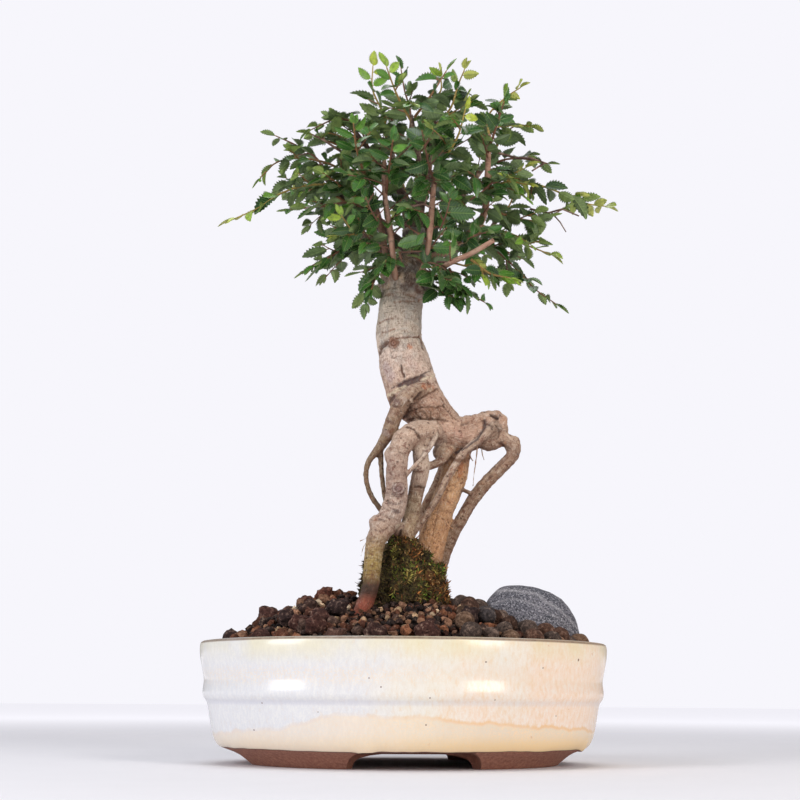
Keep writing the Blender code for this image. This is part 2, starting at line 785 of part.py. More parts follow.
def first_free(candidates, own, others):
    """The first leaf that clears the other shoots and the leaves of its own, if any does."""
    for leaf in candidates:
        shell = leaf.shell()
        if free_of(shell, others) and all(free_of(shell, tree) for tree in own):
            own.append(BVHTree.FromPolygons(*shell))
            return [leaf]
    return []


def leaves_along(route, others, rng):
    """Leaves on alternate sides of the stem and one on its end, wherever there is room."""
    length = length_of(route)
    along, side, _ = frame_along(route, len(route) - 1)
    own = []
    size = rng.uniform(*LEAF_LENGTH)
    ends = [Leaf(route[-1], along, side, size * share) for share in (1, 0.85, 0.7)]
    end_leaf = first_free(ends, own, others)
    leaves = []
    count = max(2, int((length - FIRST_LEAF) / LEAF_SPACING))
    for number in range(count):
        distance = FIRST_LEAF + (length - FIRST_LEAF - LAST_LEAF) * (number + 0.5) / count
        foot, index = point_at(route, distance)
        along, side, upper = frame_along(route, index)
        hand = 1 if number % 2 else -1
        size = rng.uniform(*LEAF_LENGTH)
        tries = []
        for share, turn in LEAF_TRIES:
            angle = LEAF_ANGLE + turn
            out = along * math.cos(angle) + side * hand * math.sin(angle) - upper * LEAF_DROOP
            tries.append(Leaf(foot, out, along, size * share, distance, hand))
        leaves += first_free(tries, own, others)
    return leaves, end_leaf


def ring(bm, where, side, upper, width):
    return [bm.verts.new(where + (side * s + upper * u) * width / 2) for s, u in SQUARE]


def untwisted(below, above):
    """The next ring's corners, turned so that the stem doesn't twist."""

    def twist(turn):
        return sum((below[i].co - above[(i + turn) % 4].co).length for i in range(4))

    turn = min(range(4), key=twist)
    return above[turn:] + above[:turn]


def grow_leaf(bm, face, leaf):
    """Draws a face of the stem out into the blade and pokes its end to the leaf's tip."""
    face = bmesh.ops.extrude_discrete_faces(bm, faces=[face])["faces"][0]
    centre = face.calc_center_median()
    for vert in face.verts:
        flat_sign = math.copysign(1, (vert.co - centre).dot(leaf.flat))
        upper_sign = math.copysign(1, (vert.co - centre).dot(leaf.upper))
        vert.co = leaf.corner(flat_sign, upper_sign)
    poked = bmesh.ops.poke(bm, faces=[face])
    poked["verts"][0].co = leaf.tip()


def stem_stops(leaves, total):
    """Where the stem gets a ring, each with the leaf that grows from the short stretch before it."""
    stops = []
    for leaf in leaves:
        stops += [(leaf.distance - LEAF_FOOT / 2, None), (leaf.distance + LEAF_FOOT / 2, leaf)]
    for distance in (STEM_RISE, *(LEAF_SPACING * n for n in range(1, int(total / LEAF_SPACING)))):
        if all(abs(distance - stop[0]) > 2 * LEAF_FOOT for stop in stops):
            stops.append((distance, None))
    return sorted([*stops, (total, None)], key=lambda stop: stop[0])


def shoot_mesh(name, route, normal, leaves, end_leaf):
    """The stem as rings of four corners, with a leaf grown from the side of each short stretch."""
    bm = bmesh.new()
    total = length_of(route)
    side = frame_along(route, 0)[1]
    side = (side - normal * side.dot(normal)).normalized()
    rings = [ring(bm, route[0], side, normal.cross(side), STEM_BASE_WIDTH)]
    leaf_faces = []
    for distance, leaf in stem_stops(leaves, total):
        where, index = point_at(route, distance)
        _, side, upper = frame_along(route, index)
        width = STEM_BASE_WIDTH + (STEM_TIP_WIDTH - STEM_BASE_WIDTH) * distance / total
        below, above = rings[-1], untwisted(rings[-1], ring(bm, where, side, upper, width))
        rings.append(above)
        corners = [(i, (i + 1) % 4) for i in range(4)]
        faces = [bm.faces.new((below[i], below[j], above[j], above[i])) for i, j in corners]
        if leaf:
            outer = max(faces, key=lambda f: (f.calc_center_median() - where).dot(side) * leaf.hand)
            leaf_faces.append((outer, leaf))
    bm.faces.new(rings[0])
    end = bm.faces.new(rings[-1])
    bmesh.ops.recalc_face_normals(bm, faces=bm.faces)
    leaf_faces += [(end, leaf) for leaf in end_leaf]
    for face, leaf in leaf_faces:
        grow_leaf(bm, face, leaf)
    return mesh_from(bm, name)


def polygons_of(mesh):
    return [v.co.copy() for v in mesh.vertices], [tuple(p.vertices) for p in mesh.polygons]


def make_shoots(wood_mesh, parts, finish):
    points, faces = polygons_of(wood_mesh)
    wood = BVHTree.FromPolygons(points, faces)
    for number, spray in enumerate(SHOOTS, 1):
        rng = random.Random(number)
        others = BVHTree.FromPolygons(points, faces)
        route, normal = seated_route(spray, wood, others, rng)
        name = f"leafy_shoot_{number:02d}"
        mesh = shoot_mesh(name, route, normal, *leaves_along(route, others, rng))
        add_object(name, mesh, parts, finish)
        more_points, more_faces = polygons_of(mesh)
        faces += [tuple(len(points) + i for i in face) for face in more_faces]
        points += more_points


# Assembly


def make_tree(parts, cutters, bark):
    trunk = wood_tube("trunk_and_roots", TRUNK, 0, ROOT_STEP, TRUNK_ROUNDNESS, parts, bark)
    branches = [
        wood_tube(f"root_{i}", root, 0, ROOT_STEP, BRANCH_ROUNDNESS, cutters)
        for i, root in enumerate(ROOTS)
    ]
    branches += [
        wood_tube(f"limb_{i}", limb, 0, LIMB_STEP, BRANCH_ROUNDNESS, cutters)
        for i, limb in enumerate(LIMBS)
    ]
    cut(trunk, branches, "UNION")
    return baked(trunk, "trunk_and_roots", parts, bark)


def make_lumps(soil_cutters, parts, cutters, finish):
    """The largest lumps of grit, each sunk a little into the soil's top."""
    for number, (across, away, radius) in enumerate(LUMPS, 1):
        where = place(across, away, 0)
        height = soil_height(where.x - POT_X, where.y) / MM + radius * LUMP_RISE
        radii = [radius * share for share in LUMP_SHAPE]
        centre = (across, away, height)
        turn = Matrix.Rotation(number, 4, "X")
        shape = (radii, centre, turn, LUMP_GRAIN, LUMP_ROUGHNESS)
        rough_ball(f"lava_lump_{number}", *shape, parts, finish, level=2)
        soil_cutters.append(rough_ball(f"lump_seat_{number}", *shape, cutters, grow=BALL_SEAT, level=2))


def main():
    clear_scene()
    parts = new_collection("chinese_elm_bonsai")
    cutters = new_collection("cutters", hidden=True)
    make_pot(parts, cutters)

    plastic = material("screen_plastic", (0.02, 0.02, 0.02), 0.5)
    wire = material("wire", (0.55, 0.56, 0.58), 0.35, 1)
    for side, word in ((-1, "left"), (1, "right")):
        make_screen(f"drain_screen_{word}", POT_X + side * HOLE_X, parts, plastic)
        make_clip(f"screen_clip_{word}", POT_X + side * HOLE_X, parts, wire)

    tree = make_tree(parts, cutters, material("bark", (0.42, 0.35, 0.26), 0.8))
    root_seats = [
        wood_tube(f"root_seat_{i}", root, ROOT_SEAT, ROOT_STEP, BRANCH_ROUNDNESS, cutters)
        for i, root in enumerate(ROOTS)
    ]

    level = Matrix.Identity(4)
    moss_shape = (MOSS_RADII, MOSS_CENTRE, level, MOSS_GRAIN, MOSS_ROUGHNESS)
    green = material("moss", (0.1, 0.13, 0.02), 0.95)
    moss = rough_ball("moss_mound", *moss_shape, parts, green)
    cut(moss, root_seats)
    moss = baked(moss, "moss_mound", parts, green)
    keep_largest(moss.data)
    moss_seat = rough_ball("moss_seat", *moss_shape, cutters, grow=BALL_SEAT)

    dip = Matrix.Rotation(STONE_DIP, 4, "Y")
    stone_shape = (STONE_RADII, STONE_CENTRE, dip, STONE_GRAIN, STONE_ROUGHNESS)
    rough_ball("river_stone", *stone_shape, parts, material("stone", (0.09, 0.1, 0.12), 0.6))
    stone_seat = rough_ball("stone_seat", *stone_shape, cutters, grow=BALL_SEAT)

    seats = [*root_seats, moss_seat, stone_seat]
    make_lumps(seats, parts, cutters, material("lava", (0.16, 0.06, 0.035), 0.95))
    make_soil(parts, cutters, material("soil", (0.12, 0.06, 0.035), 0.95), seats)
    make_shoots(tree.data, parts, material("leaf", (0.05, 0.13, 0.03), 0.4))


main()
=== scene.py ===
import math
import random
import time

import bpy
from mathutils import Matrix, Vector, noise
from mathutils.bvhtree import BVHTree
from mathutils.kdtree import KDTree


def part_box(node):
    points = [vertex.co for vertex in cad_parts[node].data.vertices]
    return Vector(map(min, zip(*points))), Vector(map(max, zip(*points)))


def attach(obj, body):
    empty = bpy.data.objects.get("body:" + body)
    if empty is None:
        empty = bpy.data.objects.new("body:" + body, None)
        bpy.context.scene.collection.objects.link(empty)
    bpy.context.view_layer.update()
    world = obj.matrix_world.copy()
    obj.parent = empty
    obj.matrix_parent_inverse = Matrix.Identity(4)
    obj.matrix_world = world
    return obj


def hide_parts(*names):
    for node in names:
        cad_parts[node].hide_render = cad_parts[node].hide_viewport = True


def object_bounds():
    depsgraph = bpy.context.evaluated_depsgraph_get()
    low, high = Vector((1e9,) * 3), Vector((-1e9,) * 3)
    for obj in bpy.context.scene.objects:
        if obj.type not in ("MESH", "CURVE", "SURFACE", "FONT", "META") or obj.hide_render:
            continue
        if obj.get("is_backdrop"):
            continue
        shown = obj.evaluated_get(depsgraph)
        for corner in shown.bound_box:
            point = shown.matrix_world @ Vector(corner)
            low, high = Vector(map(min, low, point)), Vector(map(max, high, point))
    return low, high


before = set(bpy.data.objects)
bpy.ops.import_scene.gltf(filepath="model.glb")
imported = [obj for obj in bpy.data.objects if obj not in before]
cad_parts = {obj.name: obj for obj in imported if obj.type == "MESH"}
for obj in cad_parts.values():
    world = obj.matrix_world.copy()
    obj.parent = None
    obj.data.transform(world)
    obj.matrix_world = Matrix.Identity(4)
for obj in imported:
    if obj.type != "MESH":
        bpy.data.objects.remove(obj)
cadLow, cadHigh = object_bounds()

started = time.time()
mm = 0.001
potX = -9.5 * mm  # the pot's centre
treeTurn = math.radians(-5)  # the tree and its photo side, turned on the pot
turnMatrix = Matrix.Rotation(treeTurn, 3, "Z")


def report(text):
    print(f"[{time.time() - started:5.1f} s] {text}")


# Small tools


def paint(red, green, blue):  # a colour as a picker shows it, made linear
    def linear(part):
        part /= 255
        return part / 12.92 if part <= 0.04045 else ((part + 0.055) / 1.055) ** 2.4

    return (linear(red), linear(green), linear(blue), 1)


def place(across, away, height):  # mm seen from the tree's front, to metres in the frame
    return turnMatrix @ Vector((across, away, height)) * mm + Vector((potX, 0, 0))


def smoothStep(value, low, high):
    share = min(max((value - low) / (high - low), 0), 1)
    return share * share * (3 - 2 * share)


def blendColour(first, second, share):
    return tuple(a + (b - a) * share for a, b in zip(first, second))


def rampAt(stops, value):  # stops run from the largest value down
    if value >= stops[0][0]:
        return stops[0][1]
    for (high, above), (low, below) in zip(stops, stops[1:]):
        if value >= low:
            return blendColour(below, above, (value - low) / (high - low))
    return stops[-1][1]


def deselectAll():
    if bpy.context.object and bpy.context.object.mode != "OBJECT":
        bpy.ops.object.mode_set(mode="OBJECT")
    bpy.ops.object.select_all(action="DESELECT")


def pick(obj):
    deselectAll()
    obj.select_set(True)
    bpy.context.view_layer.objects.active = obj


def applyModifiers(obj):
    pick(obj)
    for modifier in list(obj.modifiers):
        bpy.ops.object.modifier_apply(modifier=modifier.name)


def settle(obj):  # puts the object's place, turn and size into its mesh
    pick(obj)
    bpy.ops.object.transform_apply(location=True, rotation=True, scale=True)


def joinAll(name, objects):
    deselectAll()
    for obj in objects:
        obj.select_set(True)
    bpy.context.view_layer.objects.active = objects[0]
    bpy.ops.object.join()
    joined = bpy.context.object
    joined.name = joined.data.name = name
    return joined


def meshObject(name, points, faces):
    mesh = bpy.data.meshes.new(name)
    mesh.from_pydata([tuple(p) for p in points], [], faces)
    mesh.update()
    obj = bpy.data.objects.new(name, mesh)
    bpy.context.scene.collection.objects.link(obj)
    return obj


def cleanNormals(obj, merge=0.01 * mm):
    pick(obj)
    bpy.ops.object.mode_set(mode="EDIT")
    bpy.ops.mesh.select_all(action="SELECT")
    bpy.ops.mesh.remove_doubles(threshold=merge)
    bpy.ops.mesh.normals_make_consistent(inside=False)
    bpy.ops.object.mode_set(mode="OBJECT")


def setMaterials(obj, *materials):
    slots = [0] * len(obj.data.polygons)
    obj.data.polygons.foreach_get("material_index", slots)
    obj.data.materials.clear()
    for material in materials:
        obj.data.materials.append(material)
    if len(materials) > 1:
        obj.data.polygons.foreach_set("material_index", slots)


def finishPiece(obj, nodes=(), angle=None):
    pick(obj)
    if angle is None:
        bpy.ops.object.shade_smooth()
    else:
        bpy.ops.object.shade_smooth_by_angle(angle=math.radians(angle))
    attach(obj, "root")
    if nodes:
        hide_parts(*nodes)


def smoothRoute(points, step):  # a smooth curve through the points, about a step apart
    ends = [2 * points[0] - points[1], *points, 2 * points[-1] - points[-2]]
    route = []
    for before, start, end, after in zip(ends, ends[1:], ends[2:], ends[3:]):
        count = max(1, round((end - start).length / step))
        for i in range(count):
            t = i / count
            route.append(
                0.5
                * (
                    2 * start
                    + (end - before) * t
                    + (2 * before - 5 * start + 4 * end - after) * t**2
                    + (3 * start - before - 3 * end + after) * t**3
                )
            )
    return [*route, points[-1]]


def stationRoute(stations, step):  # (across, away, height, radius) stations to points and radii
    packed = [Vector((*place(*s[:3]), s[3] * mm)).to_4d() for s in stations]
    route = smoothRoute(packed, step)
    return [Vector(p[:3]) for p in route], [p[3] for p in route]


def sweep(route, radii, sides, wobble=0.0, seed=0.0):  # a closed tube along the route
    points, faces = [], []
    side = None
    for i, where in enumerate(route):
        along = (route[min(i + 1, len(route) - 1)] - route[max(i - 1, 0)]).normalized()
        side = along.orthogonal() if side is None else side - along * side.dot(along)
        side.normalize()
        other = along.cross(side)
        for k in range(sides):
            angle = math.tau * k / sides
            across, up = math.cos(angle), math.sin(angle)
            swell = 1 + wobble * noise.noise(Vector((across * 1.3 + seed, up * 1.3, where.z * 60)))
            points.append(where + (side * across + other * up) * radii[i] * swell)
        if i:
            low, high = (i - 1) * sides, i * sides
            faces += [(low + k, low + (k + 1) % sides, high + (k + 1) % sides, high + k) for k in range(sides)]
    faces.append(tuple(reversed(range(sides))))
    faces.append(tuple(range(len(points) - sides, len(points))))
    return points, faces


class Heap:  # many small shapes that become one mesh, each face with a tone and a material slot
    def __init__(self):
        self.points, self.faces, self.slots, self.tones, self.uvs = [], [], [], [], []

    def add(self, points, faces, tone, slot=0, uvs=None):  # a list of tones gives one to each face
        start = len(self.points)
        self.points += points
        tones = tone if isinstance(tone, list) else [tone] * len(faces)
        for face, shown in zip(faces, tones):
            self.faces.append(tuple(start + i for i in face))
            self.slots.append(slot)
            self.tones += [shown] * len(face)
            self.uvs += [uvs[i] for i in face] if uvs else [(0.5, 0.5)] * len(face)

    def build(self, name):
        obj = meshObject(name, self.points, self.faces)
        mesh = obj.data
        mesh.polygons.foreach_set("material_index", self.slots)
        tones = mesh.attributes.new("tone", "FLOAT_COLOR", "CORNER")
        tones.data.foreach_set("color", [part for tone in self.tones for part in tone])
        layer = mesh.uv_layers.new(name="blade")
        layer.data.foreach_set("uv", [part for uv in self.uvs for part in uv])
        return obj


# Shader maths: a wrapped socket takes part in Python expressions and adds its Math nodes


class Wire:
    def __init__(self, tree, socket=None):
        self.tree, self.socket = tree, socket

    def node(self, kind, settings=None, inputs=None, output=0):
        made = self.tree.nodes.new("ShaderNode" + kind)
        for key, value in (settings or {}).items():
            if key == "stops":
                ramp = made.color_ramp
                ramp.elements[0].position, ramp.elements[1].position = value[0][0], value[-1][0]
                for position, _ in value[1:-1]:
                    ramp.elements.new(position)
                for element, (_, colour) in zip(ramp.elements, value):
                    element.color = colour
            else:
                setattr(made, key, value)
        for key, value in (inputs or {}).items():
            if isinstance(value, Wire):
                self.tree.links.new(value.socket, made.inputs[key])
            else:
                made.inputs[key].default_value = value
        return Wire(self.tree, made.outputs[output])

    def maths(self, operation, *values):
        return self.node("Math", {"operation": operation}, dict(enumerate(values)))

    def __add__(self, other):
        return self.maths("ADD", self, other)

    def __radd__(self, other):
        return self.maths("ADD", other, self)

    def __sub__(self, other):
        return self.maths("SUBTRACT", self, other)

    def __rsub__(self, other):
        return self.maths("SUBTRACT", other, self)

    def __mul__(self, other):
        return self.maths("MULTIPLY", self, other)

    def __rmul__(self, other):
        return self.maths("MULTIPLY", other, self)

    def __truediv__(self, other):
        return self.maths("DIVIDE", self, other)

    def __abs__(self):
        return self.maths("ABSOLUTE", self)

    def between(self, low, high):  # 0 at low, 1 at high, smooth in between
        return self.node("MapRange", {"interpolation_type": "SMOOTHSTEP"}, {"Value": self, "From Min": low, "From Max": high})

    def mix(self, first, second, how="MIX"):  # colours, with this value as the share of the second
        return self.node("Mix", {"data_type": "RGBA", "blend_type": how}, {0: self, 6: first, 7: second}, 2)

    def scaled(self, x, y, z):  # a vector stretched along its axes
        return self.node("VectorMath", {"operation": "MULTIPLY"}, {0: self, 1: (x, y, z)})

    def noise(self, scale, detail=3.0, rough=0.55, warp=0.0):
        return self.node("TexNoise", None, {"Vector": self, "Scale": scale, "Detail": detail, "Roughness": rough, "Distortion": warp})

    def cells(self, scale, feature="F1", output="Distance", randomness=1.0):
        return self.node("TexVoronoi", {"feature": feature}, {"Vector": self, "Scale": scale, "Randomness": randomness}, output)


def newMaterial(name, viewColour, **constants):  # a material with its shader's fixed values set
    material = bpy.data.materials.new(name)
    material.use_nodes = True
    material.diffuse_color = viewColour
    shader = material.node_tree.nodes["Principled BSDF"]
    for key, value in constants.items():
        shader.inputs[key.replace("_", " ")].default_value = value
    return material, shader, Wire(material.node_tree)


def connect(shader, name, wire):
    wire.tree.links.new(wire.socket, shader.inputs[name])


def bumped(shader, wire, height, distance, strength=1.0):
    connect(shader, "Normal", wire.node("Bump", None, {"Height": height, "Distance": distance, "Strength": strength}))


def objectPlace(wire):
    return wire.node("TexCoord", None, None, "Object")


def attribute(wire, name, output="Color"):
    return wire.node("Attribute", {"attribute_name": name}, None, output)


def channels(wire, colour):
    return [wire.node("SeparateColor", None, {"Color": colour}, i) for i in range(3)]


def axes(wire, vector):
    return [wire.node("SeparateXYZ", None, {"Vector": vector}, i) for i in range(3)]


# Camera, lights and backdrop

cameraValues = {
    "distance": 0.700,  # in front of the pot's centre
    "height": 0.033,
    "pitch": 13.35,  # degrees up
    "yaw": 0.27,  # degrees to the left
    "roll": 0.4,
    "lens": 56.9,
    "sensor": 36,
    "picture": 800,  # pixels
}


def makeCamera():
    bpy.ops.object.camera_add()
    camera = bpy.context.object
    camera.name = "camera"
    camera.data.lens = cameraValues["lens"]
    camera.data.sensor_width = cameraValues["sensor"]
    camera.data.clip_start = 0.01
    stand = place(0, -cameraValues["distance"] / mm, cameraValues["height"] / mm)
    turn = (
        Matrix.Rotation(treeTurn + math.radians(cameraValues["yaw"]), 4, "Z")
        @ Matrix.Rotation(math.radians(90 + cameraValues["pitch"]), 4, "X")
        @ Matrix.Rotation(math.radians(cameraValues["roll"]), 4, "Z")
    )
    camera.matrix_world = Matrix.Translation(stand) @ turn
    bpy.context.scene.camera = camera
    return stand, turn.to_3x3()


def photoRay(column, row):  # the direction from the camera through a pixel of the picture
    focal = cameraValues["lens"] / cameraValues["sensor"] * cameraValues["picture"]
    half = cameraValues["picture"] / 2
    return (cameraTurn @ Vector((column - half, half - row, -focal))).normalized()


def inPicture(column, row, away):  # the point seen there, so many mm behind the pot's middle
    ray = photoRay(column, row)
    return cameraPlace + ray * (away * mm + cameraValues["distance"]) / (turnMatrix.inverted() @ ray).y


def pictureSpot(where):  # the column and row at which the camera sees a point, and how far off it is
    seen = cameraTurn.transposed() @ (where - cameraPlace)
    focal = cameraValues["lens"] / cameraValues["sensor"] * cameraValues["picture"]
    half = cameraValues["picture"] / 2
    return Vector((half - seen.x / seen.z * focal, half + seen.y / seen.z * focal)), -seen.z


studioValues = {
    "backdrop": paint(247, 246, 252),
    "ambient": 0.38,  # how much the room lights the tree, against how bright it looks
    "floorRadius": 7.0,
    "floorColour": paint(232, 231, 236),
    "floorGlow": 0.62,  # far from the lamps
}
lightValues = (
    # name, place in the frame, size across and up, watts, colour
    ("lightLeft", (-0.97, -0.60, 0.52), 0.42, 0.95, 9.2, (0.95, 0.97, 1.0)),
    ("lightRight", (0.65, -0.92, 0.48), 0.36, 0.90, 7.9, (1.0, 0.955, 0.885)),
    ("lightOver", (0.05, 0.25, 1.25), 0.9, 0.9, 5.2, (1.0, 1.0, 1.0)),
)


def makeStudio():
    scene = bpy.context.scene
    scene.view_settings.view_transform = "Standard"
    world = bpy.data.worlds.new("room")
    scene.world = world
    world.use_nodes = True
    wire = Wire(world.node_tree)
    seen = wire.node("LightPath", None, None, "Is Camera Ray")
    lit = world.node_tree.nodes["Background"]
    lit.inputs["Color"].default_value = studioValues["backdrop"]
    connect(lit, "Strength", seen * (1 - studioValues["ambient"]) + studioValues["ambient"])

    deselectAll()
    bpy.ops.mesh.primitive_circle_add(vertices=96, radius=studioValues["floorRadius"], fill_type="NGON")
    floor = bpy.context.object
    floor.name = "floor"
    material, shader, wire = newMaterial("floorPaint", studioValues["floorColour"], Roughness=0.9)
    where = objectPlace(wire)
    connect(shader, "Base Color", where.noise(40.0).mix(studioValues["floorColour"], paint(236, 235, 240)))
    shader.inputs["Emission Strength"].default_value = studioValues["floorGlow"]
    away = where.node("VectorMath", {"operation": "LENGTH"}, {0: where}, 1)
    connect(shader, "Emission Color", away.between(0.3, 1.7).mix((0, 0, 0, 1), studioValues["backdrop"]))
    setMaterials(floor, material)
    floor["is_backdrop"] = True

    for name, where, across, up, watts, colour in lightValues:
        bpy.ops.object.light_add(type="AREA", location=where)
        lamp = bpy.context.object
        lamp.name = name
        lamp.data.shape = "RECTANGLE"
        lamp.data.size, lamp.data.size_y = across, up
        lamp.data.energy = watts
        lamp.data.color = colour
        aim = Vector((potX, 0, 0.15)) - Vector(where)
        lamp.rotation_euler = aim.to_track_quat("-Z", "Y").to_euler()


cameraPlace, cameraTurn = makeCamera()
makeStudio()
report("camera, lights and floor are set")

# Pot

potValues = {
    "length": 220 * mm,
    "depth": 170 * mm,
    "steps": 288,
    "glazeEdge": 9.0,  # mm above the floor
    "edgeWave": 0.55,
    "frontGap": 66 * mm,
    "sideGap": 30 * mm,
    "gapHeight": 8.4 * mm,
    "holeX": 45 * mm,
    "holeRadius": 7 * mm,
    "ochreLine": (  # mm along the front and mm up
        (110, (17.5,)), (92, (18.4,)), (56, (20.5,)), (16, (23.3,)), (4, (24.6,)), (-39, (26,)), (-67, (18.7,)),
        (-110, (15,)),
    ),
    "specks": (  # column and row in the picture, radius in mm
        (262, 703, 0.4), (254, 730, 0.45), (381, 687, 0.4), (369, 678, 0.35), (430, 698, 0.4), (486, 662, 0.45),
        (543, 668, 0.4), (578.5, 660, 0.7), (495, 700, 0.35), (426, 725, 0.4), (318, 712, 0.3), (556, 716, 0.35),
    ),
}  # fmt: skip
potOutline = (  # mm from the axis and above the floor, from the inner floor over the lip to the underside
    (0, 13), (60, 13), (86, 13), (90.6, 13.6), (93.2, 15.2), (94.9, 18.6), (96.2, 26), (98.6, 40), (101.4, 52),
    (103.5, 59.8), (104, 61.6), (104.7, 62.6), (105.8, 63), (107.4, 63), (108.6, 62.8), (109.4, 62.3),
    (109.8, 61.5), (110, 60.4), (110, 59), (109.9, 57.2), (109.7, 55.4), (109.35, 53.4), (108.85, 51),
    (108.3, 48.6), (107.75, 46.2), (107.4, 44.4), (107.2, 42.9), (107.2, 41.6), (107.35, 40.2), (107.5, 38.8),
    (107.6, 37.5), (107.6, 36.3), (107.45, 35.2), (107.1, 34.2), (106.5, 33.3), (105.8, 32.4), (105.2, 31.4),
    (104.8, 30), (104.4, 28), (103.6, 24), (102.8, 20), (102, 16.6),
    (101.2, 14), (100.3, 12), (99.3, 10.4), (98.4, 9.5), (97.8, 9), (97, 8.7), (94.6, 7.8), (91, 6.5), (88, 4.9),
    (85.2, 2.7), (83, 0.9), (82.2, 0.2), (81.6, 0), (72.8, 0), (72.2, 0.4), (71, 4), (69.6, 7), (30, 7), (0, 7),
)  # fmt: skip


def drawOutline(name, outline):  # one vertex drawn out point by point
    deselectAll()
    bpy.ops.mesh.primitive_plane_add(size=mm, location=(0, 0, 0))
    obj = bpy.context.object
    obj.name = obj.data.name = name
    bpy.ops.object.mode_set(mode="EDIT")
    bpy.ops.mesh.select_mode(type="VERT")
    bpy.ops.mesh.select_all(action="SELECT")
    bpy.ops.mesh.merge(type="CENTER")
    bpy.ops.transform.translate(value=outline[0])
    for before, after in zip(outline, outline[1:]):
        bpy.ops.mesh.extrude_vertices_move(TRANSFORM_OT_translate={"value": Vector(after) - Vector(before)})
    return obj


def spinOval(name, outline, steps, depthShare):
    obj = drawOutline(name, [(x * mm, 0, z * mm) for x, z in outline])
    bpy.ops.mesh.select_all(action="SELECT")
    bpy.ops.mesh.spin(steps=steps, angle=math.tau, center=(0, 0, 0), axis=(0, 0, 1))
    bpy.ops.mesh.select_all(action="SELECT")
    bpy.ops.mesh.remove_doubles(threshold=0.005 * mm)
    bpy.ops.transform.resize(value=(1, depthShare, 1))
    bpy.ops.transform.translate(value=(potX, 0, 0))
    bpy.ops.mesh.normals_make_consistent(inside=False)
    bpy.ops.object.mode_set(mode="OBJECT")
    return obj


def cutAway(obj, cutters):
    for cutter in cutters:
        boolean = obj.modifiers.new(cutter.name, "BOOLEAN")
        boolean.operation = "DIFFERENCE"
        boolean.solver = "EXACT"
        boolean.object = cutter
    applyModifiers(obj)
    for cutter in cutters:
        bpy.data.objects.remove(cutter, do_unlink=True)


def archCutter(name, size, centre, axis):  # a block with its long edges rounded
    deselectAll()
    bpy.ops.mesh.primitive_cube_add(size=1, location=centre)
    obj = bpy.context.object
    obj.name = name
    obj.scale = size
    settle(obj)
    for edge in obj.data.edges:
        first, second = (obj.data.vertices[i].co for i in edge.vertices)
        edge.select = abs((first - second).normalized()[axis]) > 0.9
    bpy.ops.object.mode_set(mode="EDIT")
    bpy.ops.mesh.select_mode(type="EDGE")
    bpy.ops.mesh.bevel(offset=size[2] * 0.42, segments=6, affect="EDGES")
    bpy.ops.object.mode_set(mode="OBJECT")
    return obj


def glazeEdgeAt(x, y):  # mm above the floor where the glaze stops, with its drips
    angle = math.atan2(y / potValues["depth"], x / potValues["length"])
    ring = Vector((math.cos(angle), math.sin(angle), 0))
    wave = noise.noise(ring * 4) * 1.1 + noise.noise(ring * 13) * 0.5
    drips = -1.5 * sum(math.exp(-(((angle - spot) / 0.045) ** 2)) for spot in (-1.83, -0.4, 0.9, 2.4))
    return potValues["glazeEdge"] + potValues["edgeWave"] * wave + drips * 0.8


def ochreLineAt(x, y):  # mm above the floor of the line where two glazes meet
    angle = math.atan2(y / potValues["depth"], x / potValues["length"])
    ring = Vector((math.cos(angle) * 1.6, math.sin(angle) * 1.6, 3.1))
    sag = rampAt(potValues["ochreLine"], x / mm)[0]
    return sag + noise.noise(ring * 3.4) * 0.9 + noise.noise(ring * 8) * 0.9 + noise.noise(ring * 17) * 1.1


def makePot():
    pot = spinOval("potBody", potOutline, potValues["steps"], potValues["depth"] / potValues["length"])
    for vertex in pot.data.vertices:
        x, y, z = vertex.co.x - potX, vertex.co.y, vertex.co.z / mm
        reach = math.hypot(x, y * potValues["length"] / potValues["depth"]) / mm
        if reach > 95 and 8.6 < z < 16:
            drop = (glazeEdgeAt(x, y) - potValues["glazeEdge"]) * (1 - smoothStep(z, 9.5, 16))
            vertex.co.z += drop * mm
    tall = 2 * potValues["gapHeight"]
    cutters = []
    for side in (-1, 1):
        cutters.append(archCutter(f"frontArch{side}", (potValues["frontGap"], 0.045, tall), (potX, side * 0.072, 0), 1))
        cutters.append(archCutter(f"endArch{side}", (0.045, potValues["sideGap"], tall), (potX + side * 0.09, 0, 0), 0))
        deselectAll()
        bpy.ops.mesh.primitive_cylinder_add(
            vertices=48, radius=potValues["holeRadius"], depth=0.02, location=(potX + side * potValues["holeX"], 0, 0.01)
        )
        settle(bpy.context.object)
        cutters.append(bpy.context.object)
    cutAway(pot, cutters)
    values = []
    for vertex in pot.data.vertices:
        x, y, z = vertex.co.x - potX, vertex.co.y, vertex.co.z / mm
        reach = math.hypot(x, y * potValues["length"] / potValues["depth"]) / mm
        over = z - glazeEdgeAt(x, y)
        if reach < 97 + (z - 20) * 0.19 and 7.5 < z < 61.5:
            over = min(over, (z - 60.5) * 3)  # bare clay inside
        values += [over, z - ochreLineAt(x, y), math.atan2(y, x)]
    pot.data.attributes.new("glazeMap", "FLOAT_VECTOR", "POINT").data.foreach_set("vector", values)
    return pot


def glazeSpecks(pot):  # the places of the iron specks on the front
    surface = BVHTree.FromPolygons([v.co for v in pot.data.vertices], [tuple(p.vertices) for p in pot.data.polygons])
    hits = [(surface.ray_cast(cameraPlace, photoRay(column, row))[0], size) for column, row, size in potValues["specks"]]
    return [(hit, size) for hit, size in hits if hit]


